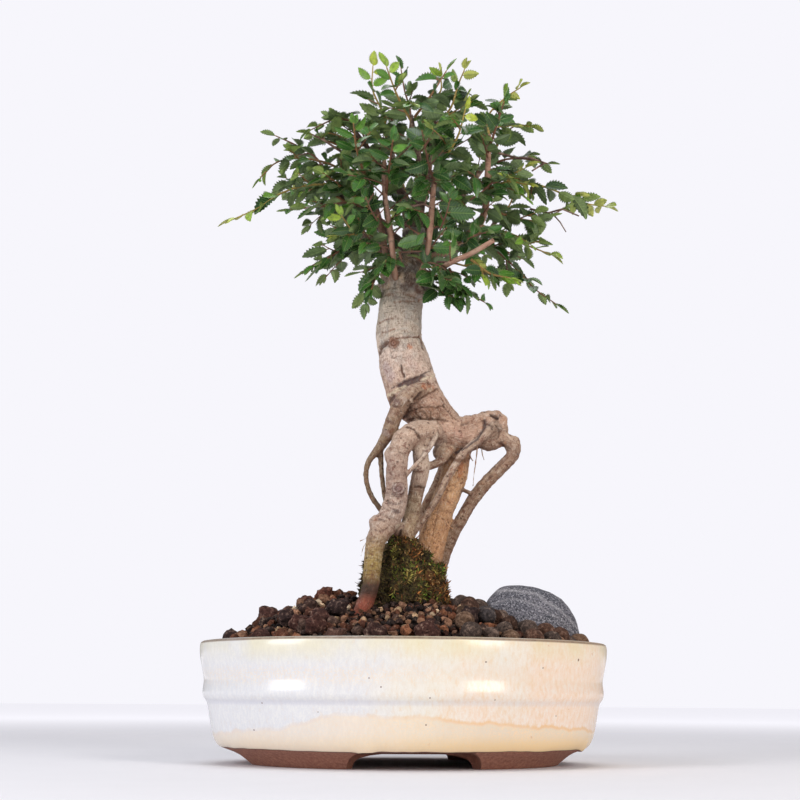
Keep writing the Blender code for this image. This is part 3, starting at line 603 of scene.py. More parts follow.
def glazeMaterial(spots):
    material, shader, wire = newMaterial("creamGlaze", paint(236, 226, 208), IOR=1.52)
    over, line, _ = axes(wire, attribute(wire, "glazeMap", "Vector"))
    where = objectPlace(wire)
    x, y, z = axes(wire, where)
    z = z * 1000  # in mm
    streaks = where.scaled(1, 1, 0.42).noise(620.0, 4.0, 0.65)
    clouds = where.scaled(1, 1, 0.7).noise(38.0, 3.0)
    flecks = where.noise(1300.0, 3.0, 0.6)
    warmth = (x * 9 + (clouds - 0.5) * 1.1).between(-0.75, 0.75)
    line = line + (streaks - 0.5) * 1.3 + (flecks - 0.5) * 1.0
    body = warmth.between(0, 0.5).mix(paint(213, 213, 216), paint(224, 216, 202))
    body = warmth.between(0.5, 1).mix(body, paint(232, 206, 184))
    body = (streaks.between(0.44, 0.66) * 0.45).mix(body, paint(231, 228, 222))
    body = (flecks.between(0.50, 0.66) * 0.35).mix(body, paint(233, 229, 224))
    body = ((1 - streaks).between(0.52, 0.70) * (0.15 + warmth * 0.55)).mix(body, paint(226, 196, 158))
    under = (0 - line).between(0, 1.2)
    lower = (clouds * 0.6 + flecks * 0.8).between(0.55, 0.85).mix(paint(236, 208, 170), paint(220, 205, 184))
    body = (under * (0.45 + warmth * 0.45)).mix(body, lower)
    ochre = (1 - abs(line).between(0.1, 1.5)) * (0.35 + warmth * 0.65) * (0.35 + clouds.between(0.25, 0.6) * 0.65)
    body = (ochre * 0.75).mix(body, paint(226, 184, 132))
    foot = (1 - z.between(10.5, 18.5)) * (0.35 + warmth * 0.65)
    body = (foot * 0.75).mix(body, paint(228, 194, 138))
    ridge = (1 - abs(z - 31.6).between(0.3, 2.0)) * (1 - warmth * 0.55)
    body = (ridge * 0.42).mix(body, paint(192, 192, 204))
    hollow = (1 - abs(z - 44.5).between(1.0, 7.0)) * flecks.between(0.42, 0.62)
    body = (hollow * 0.45).mix(body, paint(226, 204, 176))
    thin = z.between(47.5, 59.5) * clouds.between(0.22, 0.62)
    body = (thin * 0.55).mix(body, paint(216, 205, 160))
    lip = (z - clouds * 0.6).between(60.9, 61.5) * (0.55 + streaks * 0.6) * (1 - z.between(62.5, 62.9) * 0.85)
    body = (lip * 0.9).mix(body, paint(104, 74, 52))
    for spot, size in spots:
        gap = where.node("VectorMath", {"operation": "DISTANCE"}, {0: where, 1: spot}, 1)
        body = ((1 - gap.between(size * 0.6 * mm, size * 1.3 * mm)) * 0.85).mix(body, paint(104, 70, 56))
    specks = where.scaled(1, 1, 0.8).cells(62.0)
    chance = where.scaled(1, 1, 0.8).cells(62.0, output="Color")
    pickSpeck = channels(wire, chance)[0].between(0.80, 0.84)
    speck = (1 - specks.between(0.018, 0.034)) * pickSpeck
    body = (speck * 0.8).mix(body, paint(120, 84, 66))
    rust = (1 - where.noise(210.0, 3.0).between(0.24, 0.31)) * warmth
    body = (rust * 0.5).mix(body, paint(204, 140, 100))
    # The bare clay of the feet and the inside
    grit = where.noise(650.0, 4.0, 0.7)
    clay = grit.between(0.25, 0.8).mix(paint(122, 78, 64), paint(168, 116, 94))
    # Clay just below the glaze's edge, on the foot and under the rim inside, is painted darker: painted shade below
    # that edge.
    clay = ((0 - over).between(0.0, 2.4)).mix(paint(96, 62, 52), clay)
    glazed = over.between(-0.12, 0.1)
    connect(shader, "Base Color", glazed.mix(clay, body))
    connect(shader, "Roughness", 0.86 - glazed * (0.72 - clouds * 0.06 - lip * 0.25))
    ripple = where.noise(75.0, 2.0) * 0.4 + streaks * 0.03 - ochre * 0.08
    bumped(shader, wire, glazed * (ripple + 0.35) + (1 - glazed) * grit * 0.35, 0.35 * mm, 0.55)
    return material


potBody = makePot()
setMaterials(potBody, glazeMaterial(glazeSpecks(potBody)))
finishPiece(potBody, ["pot"], 34)
report("pot is turned, cut and glazed")

# Screens and clips over the drain holes keep their CAD shape


def plasticMaterial():
    material, shader, wire = newMaterial("screenPlastic", paint(30, 31, 32), IOR=1.46)
    where = objectPlace(wire)
    dust = where.noise(240.0, 4.0)
    connect(shader, "Base Color", dust.between(0.45, 0.75).mix(paint(26, 27, 28), paint(84, 68, 56)))
    connect(shader, "Roughness", 0.4 + dust * 0.35)
    bumped(shader, wire, where.noise(1500.0, 2.0), 0.05 * mm)
    return material


def wireMaterial():
    material, shader, wire = newMaterial("aluminiumWire", paint(160, 160, 158), Metallic=1.0)
    where = objectPlace(wire)
    dull = where.noise(600.0, 4.0)
    connect(shader, "Base Color", dull.between(0.4, 0.7).mix(paint(168, 168, 166), paint(120, 112, 102)))
    connect(shader, "Roughness", 0.3 + dull * 0.35)
    bumped(shader, wire, where.noise(2600.0, 2.0), 0.03 * mm)
    return material


screenPlastic, aluminiumWire = plasticMaterial(), wireMaterial()
for side in ("left", "right"):
    setMaterials(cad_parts[f"drain_screen_{side}"], screenPlastic)
    setMaterials(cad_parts[f"screen_clip_{side}"], aluminiumWire)

# Soil and grit

soilValues = {
    "edgeHeight": 57 * mm,
    "rise": 29 * mm,
    "tilt": 5 * mm,
    "bump": 1.6 * mm,
    "steps": 200,
    "rings": 70,
    "reach": 102.4,  # mm, inside the pot's wall at the top
    "bareAcross": (-34, 30),  # mm, a stretch before the roots where only fine grit lies
    "bareAway": (-66, -6),
    "bareLimit": 2.6,
    "swells": ((-37, -4, 14, 5), (-60, -10, 20, 5), (-19, -36, 14, -6), (36, -20, 12, 2.5)),  # across, away, width and height in mm
}
soilReach = potValues["length"] / 2 - 6 * mm


def soilHeight(x, y):  # the soil's top, from the pot's centre
    away = math.hypot(x / soilReach, y * potValues["length"] / potValues["depth"] / soilReach)
    rise = (soilValues["rise"] - soilValues["tilt"] * x / soilReach) * (1 - min(away, 1) ** 1.6)
    bump = soilValues["bump"] * noise.noise(Vector((x, y, 0)) / (11 * mm))
    for across, deep, wide, high in soilValues["swells"]:
        bump += high * mm * math.exp(-(((x / mm - across) / wide) ** 2) - ((y / mm - deep) / wide) ** 2)
    return soilValues["edgeHeight"] + rise + bump * (1 - min(away, 1) ** 4)


def makeSoil():
    count, reach = soilValues["rings"], soilValues["reach"]
    outline = [(reach * i / count, 57) for i in range(count + 1)]
    outline += [(97.4, 36), (94.6, 20.4), (93, 16.6), (90, 14.4), (85, 13.6), (0, 13.6)]
    soil = spinOval("soilBed", outline, soilValues["steps"], potValues["depth"] / potValues["length"])
    for vertex in soil.data.vertices:
        if vertex.co.z > 56 * mm:
            x, y = vertex.co.x - potX, vertex.co.y
            rough = noise.noise(vertex.co * 330) * 0.9 + noise.noise(vertex.co * 900) * 0.45
            vertex.co.z = soilHeight(x, y) + (rough - 1.3) * mm
    return soil


def gritMaterial():
    material, shader, wire = newMaterial("grit", paint(110, 62, 42), Specular_IOR_Level=0.25)
    tone = attribute(wire, "tone")
    where = objectPlace(wire)
    mottle = where.noise(420.0, 5.0, 0.7)
    pores = where.cells(900.0)
    # Pores and the low parts of the mottle, the hollows of the bump, are darkened: painted shade in the hollows.
    hollowShade = (1 - pores.between(0.05, 0.34)) * 0.55 + (1 - mottle.between(0.38, 0.58)) * 0.6
    colour = mottle.between(0.52, 0.72).mix(tone, (mottle * 0.75).mix(tone, paint(186, 156, 136)))
    colour = hollowShade.mix(colour, (wire.node("Mix", {"data_type": "RGBA", "blend_type": "MULTIPLY"},
                                         {0: 1.0, 6: tone, 7: paint(96, 84, 80)}, 2)))
    connect(shader, "Base Color", colour)
    connect(shader, "Roughness", 0.82 + mottle * 0.15)
    bumped(shader, wire, mottle * 1.2 + pores.between(0.0, 0.4) * 0.6, 0.9 * mm)
    return material


def soilMaterial():
    material, shader, wire = newMaterial("darkSoil", paint(62, 42, 34), Specular_IOR_Level=0.2)
    where = objectPlace(wire)
    grains = where.cells(420.0)
    shade = channels(wire, where.cells(420.0, output="Color"))[0]
    mottle = where.noise(160.0, 5.0, 0.7)
    colour = shade.mix(paint(52, 33, 27), paint(98, 58, 42))
    colour = (mottle.between(0.5, 0.8) * 0.7).mix(colour, paint(38, 28, 25))
    # The gaps between the grains are painted near black: painted shade between the grains.
    connect(shader, "Base Color", (1 - grains.between(0.1, 0.55)).mix(paint(26, 18, 15), colour))
    connect(shader, "Roughness", 0.88 + mottle * 0.1)
    bumped(shader, wire, 1 - grains.between(0.0, 0.7) + mottle * 0.4, 1.2 * mm)
    return material


stoneValues = {
    "centre": (68, 9, 72),
    "footprint": (27, 17),  # half sizes in mm, seen from above
    "sharpness": 9,
    "facets": (  # the way that each flat side faces, and how far it lies from the centre in mm
        ((-0.12, -0.05, 1), 29.8), ((0.40, -0.05, 0.916), 25.6), ((0.822, -0.05, 0.57), 26.2), ((-0.63, -0.05, 0.775), 27.6),
        ((1, 0, 0), 33.5),
        ((-1, 0.1, 0.1), 25.5), ((0, 0, -1), 13), ((0.1, -0.78, 0.62), 18), ((-0.3, -0.95, 0.1), 18),
        ((0.55, -0.83, 0.05), 21), ((0, 1, 0.1), 18), ((0.1, 0.6, 0.8), 19), ((0.8, 0.6, 0), 23), ((-0.7, 0.7, 0.2), 23),
    ),
}  # fmt: skip
mossLumps = (
    # centre (across, away, height), half sizes in mm
    ((-1, -8, 90), (14.5, 11, 32)),
    ((6, -8, 96), (9.5, 9, 18)),
    ((14.5, -5, 82), (9, 9, 17)),
    ((19, -3, 93), (4, 4, 13)),
    ((-14, -13, 86), (7.5, 7, 20)),
    ((-19, -14, 90), (4, 5, 17)),
)
mossValues = {
    "centre": (2, -8, 92),
    "radii": (24, 16, 32),
    "voxel": 0.9 * mm,
    "sprigs": 8500,
}
gritKinds = (
    # name, how many, radius low and high in mm, squash, roughness, subdivisions, colours
    ("roundClay", 54, 4.2, 5.6, 0.92, 0.10, 3, ((96, 80, 72), (78, 66, 62), (112, 86, 68), (66, 60, 60), (88, 62, 50))),
    ("redLava", 46, 4.4, 6.6, 0.80, 0.40, 3, ((92, 52, 40), (72, 44, 38), (112, 70, 52), (54, 38, 36), (84, 58, 50))),
    ("redLavaMiddle", 90, 2.9, 3.8, 0.84, 0.58, 2,
     ((112, 66, 46), (86, 52, 40), (134, 86, 60), (58, 42, 38), (150, 110, 86), (78, 58, 50))),
    ("redLavaSmall", 320, 1.9, 3.1, 0.84, 0.62, 1,
     ((112, 66, 46), (86, 52, 40), (134, 86, 60), (58, 42, 38), (150, 110, 86), (78, 58, 50))),
    ("pumice", 60, 1.6, 2.8, 0.85, 0.5, 2, ((214, 184, 150), (204, 168, 132), (220, 198, 170))),
    ("fineGrit", 1500, 0.9, 2.0, 0.85, 0.5, 1,
     ((70, 42, 34), (104, 66, 48), (46, 34, 30), (132, 96, 72), (38, 30, 29), (58, 44, 40))),
)


def pebbleTemplates(kind, subdivisions, squash, rough, rng, count=7):
    shapes = []
    for number in range(count):
        deselectAll()
        bpy.ops.mesh.primitive_ico_sphere_add(subdivisions=subdivisions, radius=1)
        ball = bpy.context.object
        shift = Vector((number * 7.3, len(kind), 1.7))
        points = []
        for vertex in ball.data.vertices:
            out = vertex.co.normalized()
            swell = 1 + rough * noise.noise(out * 1.5 + shift) + rough * 0.4 * noise.noise(out * 4 + shift)
            points.append(Vector((out.x, out.y * rng.uniform(0.98, 1.0), out.z * squash)) * swell)
        shapes.append((points, [tuple(p.vertices) for p in ball.data.polygons]))
        bpy.data.objects.remove(ball, do_unlink=True)
    return shapes


def stoneClearance(x, y):  # below 1 inside the pebble's outline seen from above
    across, away, _ = stoneValues["centre"]
    seat = place(across, away, 0)
    turned = turnMatrix.inverted() @ Vector((x + potX - seat.x, y - seat.y, 0)) / mm
    return math.hypot(turned.x / stoneValues["footprint"][0], turned.y / stoneValues["footprint"][1])


def gritFits(name, x, y, radius, rng):
    if name == "roundClay" and x < (12 + rng.random() * 30) * mm:
        return False
    if name == "redLava" and x > 30 * mm and rng.random() < 0.8:
        return False
    local = turnMatrix.inverted() @ Vector((x, y, 0)) / mm
    left, right = soilValues["bareAcross"]
    near, far = soilValues["bareAway"]
    if radius > soilValues["bareLimit"] and left < local.x < right and near < local.y < far:
        return False
    return stoneClearance(x, y) > 1


def grainTone(colours, rng):
    shade = rng.uniform(0.64, 1.46)
    return tuple(part * shade for part in paint(*rng.choice(colours))[:3]) + (1,)


def scatterGrit(name, count, low, high, squash, rough, subdivisions, colours, taken, rng):
    heap = Heap()
    shapes = pebbleTemplates(name, subdivisions, squash, rough, rng)
    if name == "redLava":  # the largest lumps lie where the CAD has them
        for centre, half in lumpSeats:
            points, faces = rng.choice(shapes)
            spots = [centre + Vector((p.x * half.x, p.y * half.y, p.z * half.z / squash)) for p in points]
            heap.add(spots, faces, grainTone(colours, rng))
    placed = tries = 0
    while placed < count and tries < count * 40:
        tries += 1
        angle, spread = rng.uniform(0, math.tau), math.sqrt(rng.random())
        radius = rng.uniform(low, high)
        reach = soilValues["reach"] - radius * 0.9
        x, y = math.cos(angle) * spread * reach * mm, math.sin(angle) * spread * reach * 0.773 * mm
        if not gritFits(name, x, y, radius, rng):
            continue
        crowd = 0.86 if radius > 2.1 else 0.62
        if any((x - a) ** 2 + (y - b) ** 2 < ((radius + r) * crowd * mm) ** 2 for a, b, r in taken):
            continue
        taken.append((x, y, radius))
        points, faces = rng.choice(shapes)
        turn = Matrix.Rotation(rng.uniform(0, math.tau), 3, Vector([rng.gauss(0, 1) for _ in range(3)]))
        height = soilHeight(x, y) + radius * rng.uniform(0.05, 0.90) * mm - 0.7 * mm
        centre = Vector((x + potX, y, height))
        heap.add([centre + turn @ p * radius * mm for p in points], faces, grainTone(colours, rng))
        placed += 1
    return heap.build(name)


soilBed = makeSoil()
setMaterials(soilBed, soilMaterial())
finishPiece(soilBed, ["soil"])
grit = gritMaterial()
gritRng = random.Random(41)
lumpNodes = [f"lava_lump_{i}" for i in range(1, 9)]
lumpBoxes = [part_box(node) for node in lumpNodes]
lumpSeats = [((low + high) / 2, (high - low) / 2) for low, high in lumpBoxes]
taken = [(centre.x - potX, centre.y, max(half.x, half.y) / mm) for centre, half in lumpSeats]
for kind in gritKinds:
    pieces = scatterGrit(*kind, taken, gritRng)
    setMaterials(pieces, grit)
    finishPiece(pieces, lumpNodes if kind[0] == "redLava" else (), 40)
report(f"soil is laid with {len(taken)} grains")


# Moss and pebble


def ball(name, subdivisions):
    deselectAll()
    bpy.ops.mesh.primitive_ico_sphere_add(subdivisions=subdivisions, radius=1)
    obj = bpy.context.object
    obj.name = obj.data.name = name
    return obj


def stoneMaterial():
    material, shader, wire = newMaterial("riverStone", paint(92, 90, 98), Specular_IOR_Level=0.4)
    where = objectPlace(wire)
    salt = where.noise(1150.0, 2.0, 0.6)
    pepper = where.scaled(1, 1, 1.3).noise(820.0, 3.0, 0.65)
    cloud = where.noise(70.0, 3.0)
    colour = cloud.between(0.3, 0.7).mix(paint(70, 71, 80), paint(102, 100, 108))
    colour = (pepper.between(0.48, 0.57) * 0.88).mix(colour, paint(36, 37, 46))
    colour = (salt.between(0.54, 0.63) * 0.8).mix(colour, paint(162, 159, 165))
    seam = attribute(wire, "seam", "Fac")
    colour = (seam * (0.15 + 0.5 * salt)).mix(colour, paint(176, 173, 176))
    connect(shader, "Base Color", colour)
    connect(shader, "Roughness", 0.52 + pepper * 0.2)
    bumped(shader, wire, salt * 0.5 + pepper * 0.6, 0.22 * mm)
    return material


def makeStone():
    stone = ball("riverStone", 6)
    power = stoneValues["sharpness"]
    facets = [(Vector(way).normalized(), far) for way, far in stoneValues["facets"]]
    seam = []
    for vertex in stone.data.vertices:
        out = vertex.co.normalized()
        near = sum((max(out.dot(way), 0) / far) ** power for way, far in facets) ** (-1 / power)
        local = out * near * (1 + 0.015 * noise.noise(out * 5))
        vertex.co = place(*(local + Vector(stoneValues["centre"])))
        arc = local.z - 22 + 0.016 * (local.x + 9) ** 2 + noise.noise(local / 9) * 1.6 - local.y * 0.2
        seam.append(math.exp(-((arc / 0.9) ** 2)) + 0.7 * math.exp(-(((arc + 5) / 0.6) ** 2)) if local.y < 4 else 0)
    stone.data.attributes.new("seam", "FLOAT", "POINT").data.foreach_set("value", seam)
    return stone


def mossMaterial():
    material, shader, wire = newMaterial("moss", paint(84, 78, 38), Specular_IOR_Level=0.2)
    where = objectPlace(wire)
    patch = where.noise(95.0, 4.0, 0.65)
    fine = where.noise(900.0, 4.0, 0.7)
    tone = attribute(wire, "tone")
    colour = (patch.between(0.44, 0.64) * 0.5).mix(tone, paint(36, 27, 20))
    connect(shader, "Base Color", (fine.between(0.45, 0.65) * 0.25).mix(colour, paint(150, 140, 70)))
    connect(shader, "Roughness", 0.85 + fine * 0.1)
    bumped(shader, wire, fine, 0.5 * mm)
    return material


mossPatches = (
    # column and row in the picture, reach in pixels, kind
    (407, 540, 5, "rust"), (413, 534, 5, "gold"), (395, 553, 5, "gold"), (446, 571, 4, "bright"), (438, 559, 8, "bright"),
    (426, 557, 6, "peat"), (417, 553, 9, "rust"), (422, 584, 6, "green"), (409, 576, 7, "gold"), (401, 571, 13, "green"),
    (430, 578, 7, "rust"), (437, 573, 6, "gold"), (443, 588, 9, "rust"), (388, 553, 7, "peat"), (388, 568, 7, "peat"),
    (388, 583, 7, "peat"), (406, 593, 11, "peat"), (425, 595, 6, "green"), (361, 571, 5, "green"),
)  # fmt: skip
mossTones = {
    "peat": ((44, 32, 26), (30, 24, 22), (62, 44, 32), (84, 64, 46), (52, 50, 28)),
    "green": ((74, 84, 34), (122, 128, 52), (92, 122, 44), (48, 44, 26), (168, 160, 84), (84, 62, 38), (110, 82, 46), (40, 32, 24)),
    "rust": ((132, 78, 42), (162, 104, 58), (84, 50, 32), (186, 146, 98), (56, 38, 28), (112, 66, 38)),
    "gold": ((172, 160, 84), (150, 128, 66), (196, 178, 104), (120, 104, 52), (84, 72, 40), (112, 118, 54)),
    "bright": ((96, 140, 44), (122, 160, 58), (74, 110, 36), (150, 180, 84), (60, 84, 34)),
}


def mossKind(where, rng):
    local = turnMatrix.inverted() @ (where - place(*mossValues["centre"])) / mm
    if local.y < 3:
        spot = pictureSpot(where)[0]
        for column, row, reach, kind in mossPatches:
            if (spot - Vector((column, row))).length < reach * rng.uniform(0.6, 1.25):
                return kind
    wander = noise.noise(local / 7) * 9
    if local.z < -16 + wander * 0.8 or local.x < -9 + wander * 0.6 or noise.noise(local / 3.5) > 0.32:
        return "peat"
    if local.x > 11 - local.z * 0.35 + wander:
        return "green" if local.z > 6 and rng.random() < 0.6 else "rust"
    return ("green", "rust", "peat")[(rng.random() > 0.45) + (rng.random() > 0.62)]


def makeMoss(rng):
    lumps = []
    for number, (centre, radii) in enumerate(mossLumps):
        lump = ball(f"mossLump{number}", 4)
        for vertex in lump.data.vertices:
            vertex.co = place(*(c + vertex.co[i] * radii[i] for i, c in enumerate(centre)))
        lumps.append(lump)
    base = joinAll("mossMound", lumps)
    remesh = base.modifiers.new("skin", "REMESH")
    remesh.mode = "VOXEL"
    remesh.voxel_size = mossValues["voxel"]
    applyModifiers(base)
    for vertex in base.data.vertices:
        lift = noise.noise(vertex.co * 110) * 4.2 + noise.noise(vertex.co * 260) * 2.8 + noise.noise(vertex.co * 620) * 1.4
        vertex.co += vertex.normal * lift * mm
    base.data.update()
    heap = Heap()
    faces = [tuple(p.vertices) for p in base.data.polygons]
    points = [v.co.copy() for v in base.data.vertices]
    tones = []
    for face in base.data.polygons:
        tone = paint(*rng.choice(mossTones[mossKind(face.center, rng)]))
        # The mound under the sprigs is darkened towards dark brown: painted shade among the sprigs.
        tones.append(blendColour(paint(50, 40, 26), tone, rng.uniform(0.0, 0.55)))
    heap.add(points, faces, tones)
    shapes = base.data.polygons
    for face in rng.choices(shapes, [p.area for p in shapes], k=mossValues["sprigs"]):
        spots = [(base.data.vertices[i].co, rng.random()) for i in face.vertices]
        where = sum((co * share for co, share in spots), Vector()) / sum(share for _, share in spots)
        out = face.normal.copy()
        tone = paint(*rng.choice(mossTones[mossKind(where, rng)]))
        shade = rng.uniform(0.5, 1.9)
        tone = tuple(part * shade for part in tone[:3]) + (1,)
        out = (out + Vector([rng.gauss(0, 0.45) for _ in range(3)]) + Vector((0, 0, 0.25))).normalized()
        side = out.orthogonal().normalized()
        side = (Matrix.Rotation(rng.uniform(0, math.tau), 3, out) @ side).normalized()
        length, wide = rng.uniform(0.9, 3.4) * mm, rng.uniform(0.22, 0.52) * mm
        third = out.cross(side)
        low = where - out * 0.3 * mm
        corners = [low + side * wide, low - side * wide * 0.5 + third * wide, low - side * wide * 0.5 - third * wide]
        middle = low + out * length * 0.55 + side * length * 0.12
        upper = [middle + (c - low) * 0.75 for c in corners]
        tip = low + out * length + side * length * 0.4
        heap.add(
            [*corners, *upper, tip],
            [(0, 1, 4, 3), (1, 2, 5, 4), (2, 0, 3, 5), (3, 4, 6), (4, 5, 6), (5, 3, 6), (2, 1, 0)],
            tone,
        )
    bpy.data.objects.remove(base, do_unlink=True)
    return heap.build("mossMound")


riverStone = makeStone()
setMaterials(riverStone, stoneMaterial())
finishPiece(riverStone, ["river_stone"])
mossMound = makeMoss(random.Random(7))
cleanNormals(mossMound, 0)
setMaterials(mossMound, mossMaterial())
finishPiece(mossMound, ["moss_mound"], 60)
report("moss and pebble are in place")

# Trunk and roots: (across, away, height, radius) in mm

barkValues = {
    "voxel": 0.70 * mm,
    "sides": 28,
    "wobble": 0.08,
    "reach": 9 * mm,  # the widest mark's influence
}
trunkStations = (
    (5.3, 2, 303.1, 5.3), (4.7, 2, 292.5, 5.6), (2.9, 1, 282, 8), (-0.6, 0, 272.2, 11), (-2.9, 0, 260, 12.3),
    (-3.8, 0, 247.2, 12.8), (-4, 0, 234.6, 13.1), (-2.3, -1, 226.3, 13.6), (-0.3, -1, 218, 14.6),
    (2.3, -1, 209.7, 15.2), (5.1, -1, 201.5, 15.2), (11.4, -1, 193.3, 13.5), (17.6, 0, 186.3, 12.5),
    (25.5, 0, 180.4, 11), (35, 0, 178.6, 9.3), (44.7, 0, 181.5, 7), (51.6, 0, 187.5, 5.4),
)  # fmt: skip
trunkTints = (
    (303, (116, 116, 112)), (288, (108, 102, 96)), (278, (142, 120, 102)), (271, (176, 154, 132)), (262, (198, 182, 164)),
    (250, (200, 186, 168)), (236, (198, 180, 162)), (222, (204, 180, 164)), (208, (204, 174, 154)),
    (198, (194, 158, 136)), (186, (186, 150, 126)), (178, (194, 158, 136)), (170, (188, 152, 128)),
)  # fmt: skip
trunkBands = 0.45
rootList = (
    {  # the first of the twin rootlets at the far left
        "bands": 0.6,
        "tints": ((206, (168, 140, 118)), (175, (142, 118, 92)), (140, (116, 94, 68)), (125, (80, 62, 46))),
        "stations": (
            (10, -12, 203.5, 4.2), (5, -15.5, 200, 5), (-0.5, -16.2, 195.5, 4.9), (-4, -15, 190, 4.4),
            (-6.6, -14, 184.5, 4), (-9.2, -13, 178, 3.7), (-13.4, -12, 170.5, 2.8),
            (-20.4, -12, 161, 1.7), (-21.7, -11, 152, 1.5), (-18.6, -11, 142, 1.5), (-11.5, -13, 132, 1.6),
            (-7.5, -17, 125, 1.8),
        ),
    },
    {  # its twin
        "bands": 0.6,
        "tints": ((170, (142, 118, 92)), (148, (136, 114, 88)), (126, (86, 66, 50))),
        "stations": (
            (-14, -12, 170.5, 2), (-13.6, -10, 162, 1.5), (-12.2, -9, 147.7, 1.4), (-9.3, -11, 133.5, 1.5),
            (-6, -14, 126, 1.7),
        ),
    },
    {  # stout root at the front left
        "bands": 0.6,
        "tints": (
            (181, (196, 166, 144)), (170, (194, 166, 146)), (156, (186, 160, 144)), (144, (192, 166, 150)),
            (130, (182, 156, 140)), (120, (176, 148, 126)), (113, (162, 134, 94)), (104, (166, 140, 80)),
            (97, (138, 112, 62)), (92, (62, 48, 38)), (88, (66, 44, 36)), (83, (148, 76, 58)), (76, (158, 82, 62)),
            (68, (112, 60, 48)),
        ),
        "stations": (
            (20, -4, 181, 6), (9.9, -11, 179.1, 6.4), (1.8, -15, 174.6, 6.6), (-3.6, -18, 166, 6.2),
            (-4.6, -19, 153.3, 5.8), (-5, -19, 139, 5.8), (-9.4, -20, 127, 6.2), (-15.1, -22, 117.4, 5.4),
            (-17, -23, 104, 4.7), (-18.4, -24, 90, 4.4), (-23.8, -25, 75, 4.2), (-29, -25, 58, 3.4),
        ),
    },
    {  # root just right of it
        "bands": 0.4,
        "tints": (
            (181, (176, 150, 130)), (165, (200, 178, 158)), (150, (184, 160, 142)), (145, (130, 104, 84)),
            (138, (166, 144, 118)), (125, (176, 150, 120)), (115, (150, 118, 88)), (100, (90, 64, 46)),
        ),
        "stations": (
            (16, -6, 181, 4.8), (8.6, -12, 170, 4.5), (8.9, -12, 158.8, 4.4), (6.6, -10, 147, 4.5),
            (4.2, -9, 135.1, 4.4), (0.9, -9, 122.2, 4.2), (-1.6, -9, 106, 3.6), (-3, -8, 86, 3.4), (-6, -6, 62, 2.8),
        ),
    },
    {  # thin root across the front
        "bands": 0.5,
        "tints": ((183, (170, 144, 124)), (168, (204, 184, 166)), (150, (188, 166, 146))),
        "stations": (
            (18.5, -9, 183, 1.6), (15.9, -14, 172.9, 1.3), (10.5, -18, 164, 1.2), (3, -22, 155, 1.2),
            (-2.5, -20, 149, 1.3),
        ),
    },
    {  # short root from under the trunk to the one at its left
        "bands": 0.5,
        "tints": ((173, (178, 150, 126)), (158, (166, 138, 116))),
        "stations": (
            (27, -3, 173, 3.4), (23.5, -6, 167.5, 2.7), (19.5, -8, 162.5, 2.6), (14.3, -9, 159.6, 2.3),
            (9, -11, 158.5, 2),
        ),
    },
    {  # broad root that carries the trunk
        "bands": 0.12,
        "tints": (
            (182, (134, 98, 74)), (170, (150, 106, 74)), (158, (184, 140, 100)), (142, (214, 168, 124)),
            (126, (210, 158, 112)), (112, (198, 146, 102)), (105, (150, 112, 76)), (101, (64, 48, 34)),
        ),
        "stations": (
            (30, 2, 180, 8.6), (27.7, 3, 159.4, 7.7), (23.7, 4, 145.9, 7.3), (18.6, 5, 132, 7.3), (14.4, 5, 117, 7.4),
            (12.2, 5, 100.6, 7.6), (12, 6, 80, 7), (14, 8, 56, 5),
        ),
    },
    {  # thin root from the knob
        "bands": 0.5,
        "tints": ((186, (168, 142, 122)), (150, (180, 152, 130)), (120, (160, 130, 106))),
        "stations": (
            (50, -3, 185, 3), (44, -8, 176.8, 2.5), (33, -10.5, 167.4, 2.2), (23.5, -11.5, 153, 2),
            (16.8, -10.5, 140, 1.9), (9.8, -9.5, 129.4, 1.9), (3, -9, 120, 1.9),
        ),
    },
    {  # elbowed root at the right
        "bands": 0.6,
        "tints": (
            (178, (178, 148, 124)), (168, (158, 130, 110)), (156, (170, 140, 114)), (138, (162, 132, 108)),
            (120, (154, 124, 100)), (105, (142, 110, 86)), (92, (96, 74, 54)),
        ),
        "stations": (
            (40, -2, 177, 4), (46.8, -3, 172.6, 3.7), (54.4, -3, 175.4, 3.7), (60.4, -2, 174, 3.8),
            (60.2, -1, 167.5, 3.8), (51, 1, 157.6, 3.6), (40, 4, 145.6, 3.6), (31, 7, 131, 3.6), (24.2, 9, 119, 3.8),
            (19.6, 11, 104, 3.9), (17, 12, 84, 3.8), (16, 14, 62, 3),
        ),
    },
    {  # rootlet that bridges the gap at the right
        "bands": 0.5,
        "tints": ((150, (120, 92, 74)), (144, (140, 110, 88))),
        "stations": ((24.5, 2, 150, 1.4), (33.2, 1, 147.4, 1.2), (39.5, 3, 144.6, 1.3)),
    },
    {  # back root
        "bands": 0.5,
        "tints": ((182, (150, 120, 98)), (150, (160, 130, 104)), (120, (150, 120, 92)), (95, (96, 72, 52))),
        "stations": (
            (26, 6, 182, 5.6), (25, 13, 168, 4.6), (18, 15, 151, 3.8), (11.5, 15, 137, 3.5), (11.5, 15, 124, 3.5),
            (9, 16, 108, 4), (4, 18, 86, 4), (-3, 20, 62, 3),
        ),
    },
)  # fmt: skip
